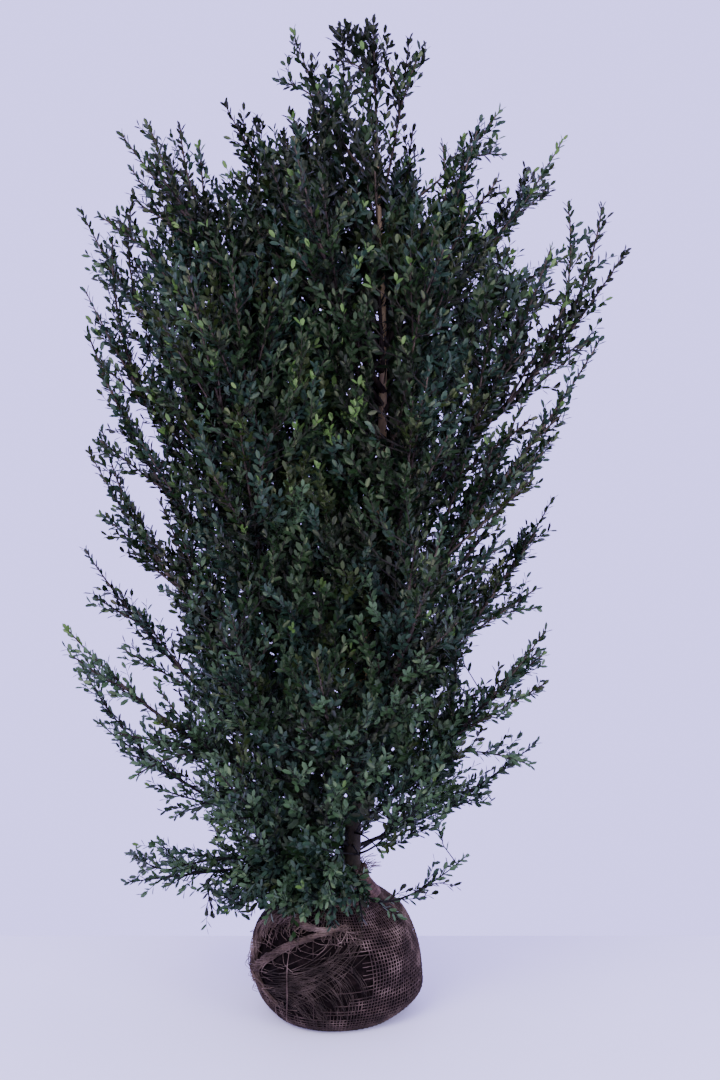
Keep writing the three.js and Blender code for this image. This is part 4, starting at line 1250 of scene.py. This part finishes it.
def add_bump(material, shader, height, strength, distance):
    inputs = {"Height": height, "Strength": strength, "Distance": distance}
    link(material, add_node(material, "ShaderNodeBump", inputs).outputs["Normal"], shader, "Normal")


def patchy_material(name, look, colour, colours):
    """A material of a plain colour, with patches of other colours and, if its look has grain, relief."""
    material, shader = new_material(name, colour, look)
    patches = object_noise(material, *look["patches"])
    link(material, colour_ramp(material, patches, look["places"], colours), shader, "Base Color")
    if "grain" in look:
        add_bump(material, shader, object_noise(material, *look["grain"]), *look["bump"])
    return material, shader


def leaf_material(kind):
    """A glossy leaf of one plain colour, with slight waves on its surface."""
    look = LEAF_LOOK
    material, shader = new_material(f"leaf_{kind}", LEAF_COLOURS[kind], look)
    shader.inputs["Specular Tint"].default_value = look["tint"]
    least, most = look["rougher"]
    inputs = {"Value": object_noise(material, *look["patches"]), "To Min": least, "To Max": most}
    roughness = add_node(material, "ShaderNodeMapRange", inputs).outputs["Result"]
    link(material, roughness, shader, "Roughness")
    add_bump(material, shader, object_noise(material, *look["grain"]), *look["bump"])
    return material


def bark_material(name):
    """Thin bark, darker near the ground: long streaks and small raised pores."""
    look, colours = BARK_LOOK, BARKS[name]
    material, shader = new_material(name, colours[1], look)
    streaks = object_noise(material, *look["streaks"])
    colour = colour_ramp(material, streaks, look["places"], colours)
    place = object_place(material)
    height = add_node(material, "ShaderNodeSeparateXYZ", {"Vector": place}).outputs["Z"]
    shade = colour_ramp(material, height, [DARK_BARK["below"], 1], [DARK_BARK["shade"], (1, 1, 1)])
    shaded = add_node(material, "ShaderNodeVectorMath", {0: colour, 1: shade}, operation="MULTIPLY")
    link(material, shaded.outputs[0], shader, "Base Color")
    pores = add_node(material, "ShaderNodeTexVoronoi", {"Vector": place, "Scale": look["pores"]})
    relief = math_node(material, "SUBTRACT", streaks, pores.outputs["Distance"])
    add_bump(material, shader, relief, *look["bump"])
    return material


def yarn_material(name):
    """Coarse jute: every yarn is lighter and darker along its way, with short fibres on its surface."""
    colours = YARNS[name]
    material, shader = patchy_material(name, YARN_LOOK, colours[1], colours)
    shader.inputs["Sheen Weight"].default_value = YARN_LOOK["sheen"]
    shader.inputs["Sheen Tint"].default_value = (*colours[2], 1)
    return material


def cloth_material(name):
    """Gathered hessian: the weave is a fine grid of ridges that follows the height and the bearing."""
    material = yarn_material(name)
    axes = add_node(material, "ShaderNodeSeparateXYZ", {"Vector": object_place(material)}).outputs
    bearing = math_node(material, "ARCTAN2", axes["Y"], axes["X"])
    ways = [(bearing, CLOTH_LOOK["upright"]), (axes["Z"], CLOTH_LOOK["level"])]
    ridges = [math_node(material, "SINE", math_node(material, "MULTIPLY", way, scale)) for way, scale in ways]
    shader = material.node_tree.nodes["Principled BSDF"]
    add_bump(material, shader, math_node(material, "MAXIMUM", *ridges), *CLOTH_LOOK["bump"])
    return material


def make_ball(random):
    """The root ball: the soil, the weave over it, and the cloth that is loose, rolled and gathered."""
    weave, loose = yarn_material("hessian_yarn"), yarn_material("hessian_loose")
    frayed, cloth = yarn_material("hessian_frayed"), cloth_material("hessian_gathered")
    soil, _ = patchy_material("soil", SOIL_LOOK, SOIL_LOOK["colour"], SOIL_COLOURS)
    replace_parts(soil_ball().build("soil_ball", soil, "wrapped_soil"), "root_ball")
    upright, level = weave_strands(random)
    upright.build("hessian_upright_yarns", weave, "hessian")
    level.build("hessian_level_yarns", weave, "hessian")
    loose_strands(random).build("hessian_loose_yarns", loose, "hessian")
    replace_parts(rolled_edges(random).build("hessian_rolled_edges", frayed, "hessian"), "hessian_hem")
    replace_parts(gathered_neck(random).build("hessian_neck", cloth, "hessian"), "hessian_collar")
    neck_fringe(random).build("hessian_fringe", frayed, "hessian")


def make_wood(stems, limbs):
    """Bark on the stems and on every limb from its fork to its tip."""
    # The stems' bark carries painted light: its colours are much lighter than the limbs' bark.
    bark = bark_material("bark")
    for name, line in stems.items():
        start = np.interp(BALL_HEIGHT, line.points[:, 2], line.along) / line.length
        standing = line.part(start, 1)
        trunk = Pieces(bark_tube(standing, int(standing.length / TRUNK_BARK["step"]), TRUNK_BARK))
        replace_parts(trunk.build(f"{name}_bark", bark, "bark"), name)
    looks = [FINE_BARK if limb.get("fine") else LIMB_BARK for limb in limbs]
    boughs = Pieces(*(bark_tube(limb["line"], look["rings"], look) for limb, look in zip(limbs, looks)))
    piece = boughs.build("boughs_bark", bark_material("limb_bark"), "bark")
    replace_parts(piece, *[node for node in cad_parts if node.startswith("bough_")])


def grow_crown(random, stems, limbs):
    """Twigs and the shoots on them, each with its kind of leaf and the kind at its tip."""
    twigs = grow_twigs(random, limbs, stems)
    filling = fill_core(random, limbs, twigs)
    twigs = {key: np.concatenate([column, filling[key]]) for key, column in twigs.items()}
    shown = ~hides_trunk(stems["trunk"], twigs["end"]) & ~hides_trunk(stems["trunk"], twigs["bend"])
    twigs = {key: column[shown] for key, column in twigs.items()}
    twigs["kind"] = pick_kinds(random, twigs["end"])
    twigs["tip_kind"] = pick_tip_kinds(random, twigs["end"], twigs["kind"])
    shoots = grow_shoots(random, twigs)
    own = random.random(len(shoots["length"])) < OWN_KIND
    shoots["kind"] = np.where(own, pick_kinds(random, shoots["end"]), twigs["kind"][shoots["owner"]])
    shoots["tip_kind"] = pick_tip_kinds(random, shoots["end"], shoots["kind"])
    return twigs, shoots


def make_crown(random, stems, limbs):
    """The twigs, as one mesh, and the leaves, as meshes of one kind each."""
    twigs, shoots = grow_crown(random, stems, limbs)
    wood = Pieces()
    wood.add_tubes(*curved_tubes(twigs, TWIG_TUBES))
    wood.add_tubes(*curved_tubes(shoots, SHOOT_TUBES))
    piece = wood.build("twigs", bark_material("twig_bark"), "bark")
    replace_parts(piece, *[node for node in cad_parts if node.startswith("foliage_")])

    sites = [leaves_along(random, twigs, FIRST_LEAF["twigs"])]
    sites.append(leaves_along(random, shoots, FIRST_LEAF["shoots"]))
    sites += leaves_on_limbs(random, limbs)
    leaves = {key: np.concatenate([part[key] for part in sites]) for key in sites[0]}
    ends = leaves["base"] + leaves["direction"] * leaves["length"][:, None]
    clear = ~near_ball(ends) & in_reach(ends) & (ends[:, 2] < CROWN["top"])
    clear &= ~hides_trunk(stems["trunk"], ends)
    clear &= ~in_core(ends, SHADED["within"]) | (random.random(len(ends)) < SHADED["kept"])
    for kind, name in enumerate(KINDS):
        material = leaf_material(name)
        chosen = np.flatnonzero(clear & (leaves["kind"] == kind))
        for part, start in enumerate(range(0, len(chosen), LEAVES_IN_PIECE)):
            rows = chosen[start:start + LEAVES_IN_PIECE]
            foliage = Pieces(leaf_meshes({key: column[rows] for key, column in leaves.items()}))
            foliage.build(f"leaves_{name}_{part + 1}", material, "leaf")


def make_floor():
    """A pale, slightly uneven floor that ends just behind the plant."""
    mesh = bpy.data.meshes.new("floor")
    side, front, back = FLOOR["side"], FLOOR["front"], FLOOR["back"]
    corners = [(-side, -front, 0), (side, -front, 0), (side, back, 0), (-side, back, 0)]
    mesh.from_pydata(corners, [], [(0, 1, 2, 3)])
    floor = bpy.data.objects.new("floor", mesh)
    bpy.context.scene.collection.objects.link(floor)
    material, _ = patchy_material("floor", FLOOR_LOOK, FLOOR_LOOK["colour"], FLOOR_LOOK["colours"])
    mesh.materials.append(material)


def add_light(name, place, aim, size, power, colour):
    data = bpy.data.lights.new(name, "AREA")
    data.size = size
    data.energy = power
    data.color = colour
    light = bpy.data.objects.new(name, data)
    light.location = place
    light.rotation_euler = (Vector(aim) - Vector(place)).to_track_quat("-Z", "Y").to_euler()
    bpy.context.scene.collection.objects.link(light)


def make_studio():
    """The backdrop, two soft lights and the camera."""
    world = bpy.data.worlds.new("backdrop")
    world.use_nodes = True
    background = world.node_tree.nodes["Background"]
    background.inputs["Color"].default_value = BACKDROP
    background.inputs["Strength"].default_value = 1.0
    bpy.context.scene.world = world
    for name, light in LIGHTS.items():
        add_light(name, **light)

    data = bpy.data.cameras.new("camera")
    data.lens = CAMERA["lens"]
    data.sensor_width = CAMERA["sensor"]
    camera = bpy.data.objects.new("camera", data)
    camera.location = VIEWPOINT
    camera.rotation_euler = (math.radians(CAMERA["pitch"]), 0, 0)
    bpy.context.scene.collection.objects.link(camera)
    bpy.context.scene.camera = camera


def main():
    random = np.random.default_rng(SEED)
    stems = grow_stems()
    limbs = plan_limbs(stems)
    limbs += grow_side_limbs(random, limbs) + grow_to_finer_tips(limbs)
    limbs += grow_low_branches(random, stems) + grow_skirt(random, stems)
    make_wood(stems, limbs)
    make_crown(random, stems, limbs)
    make_ball(random)
    make_floor()
    make_studio()


main()
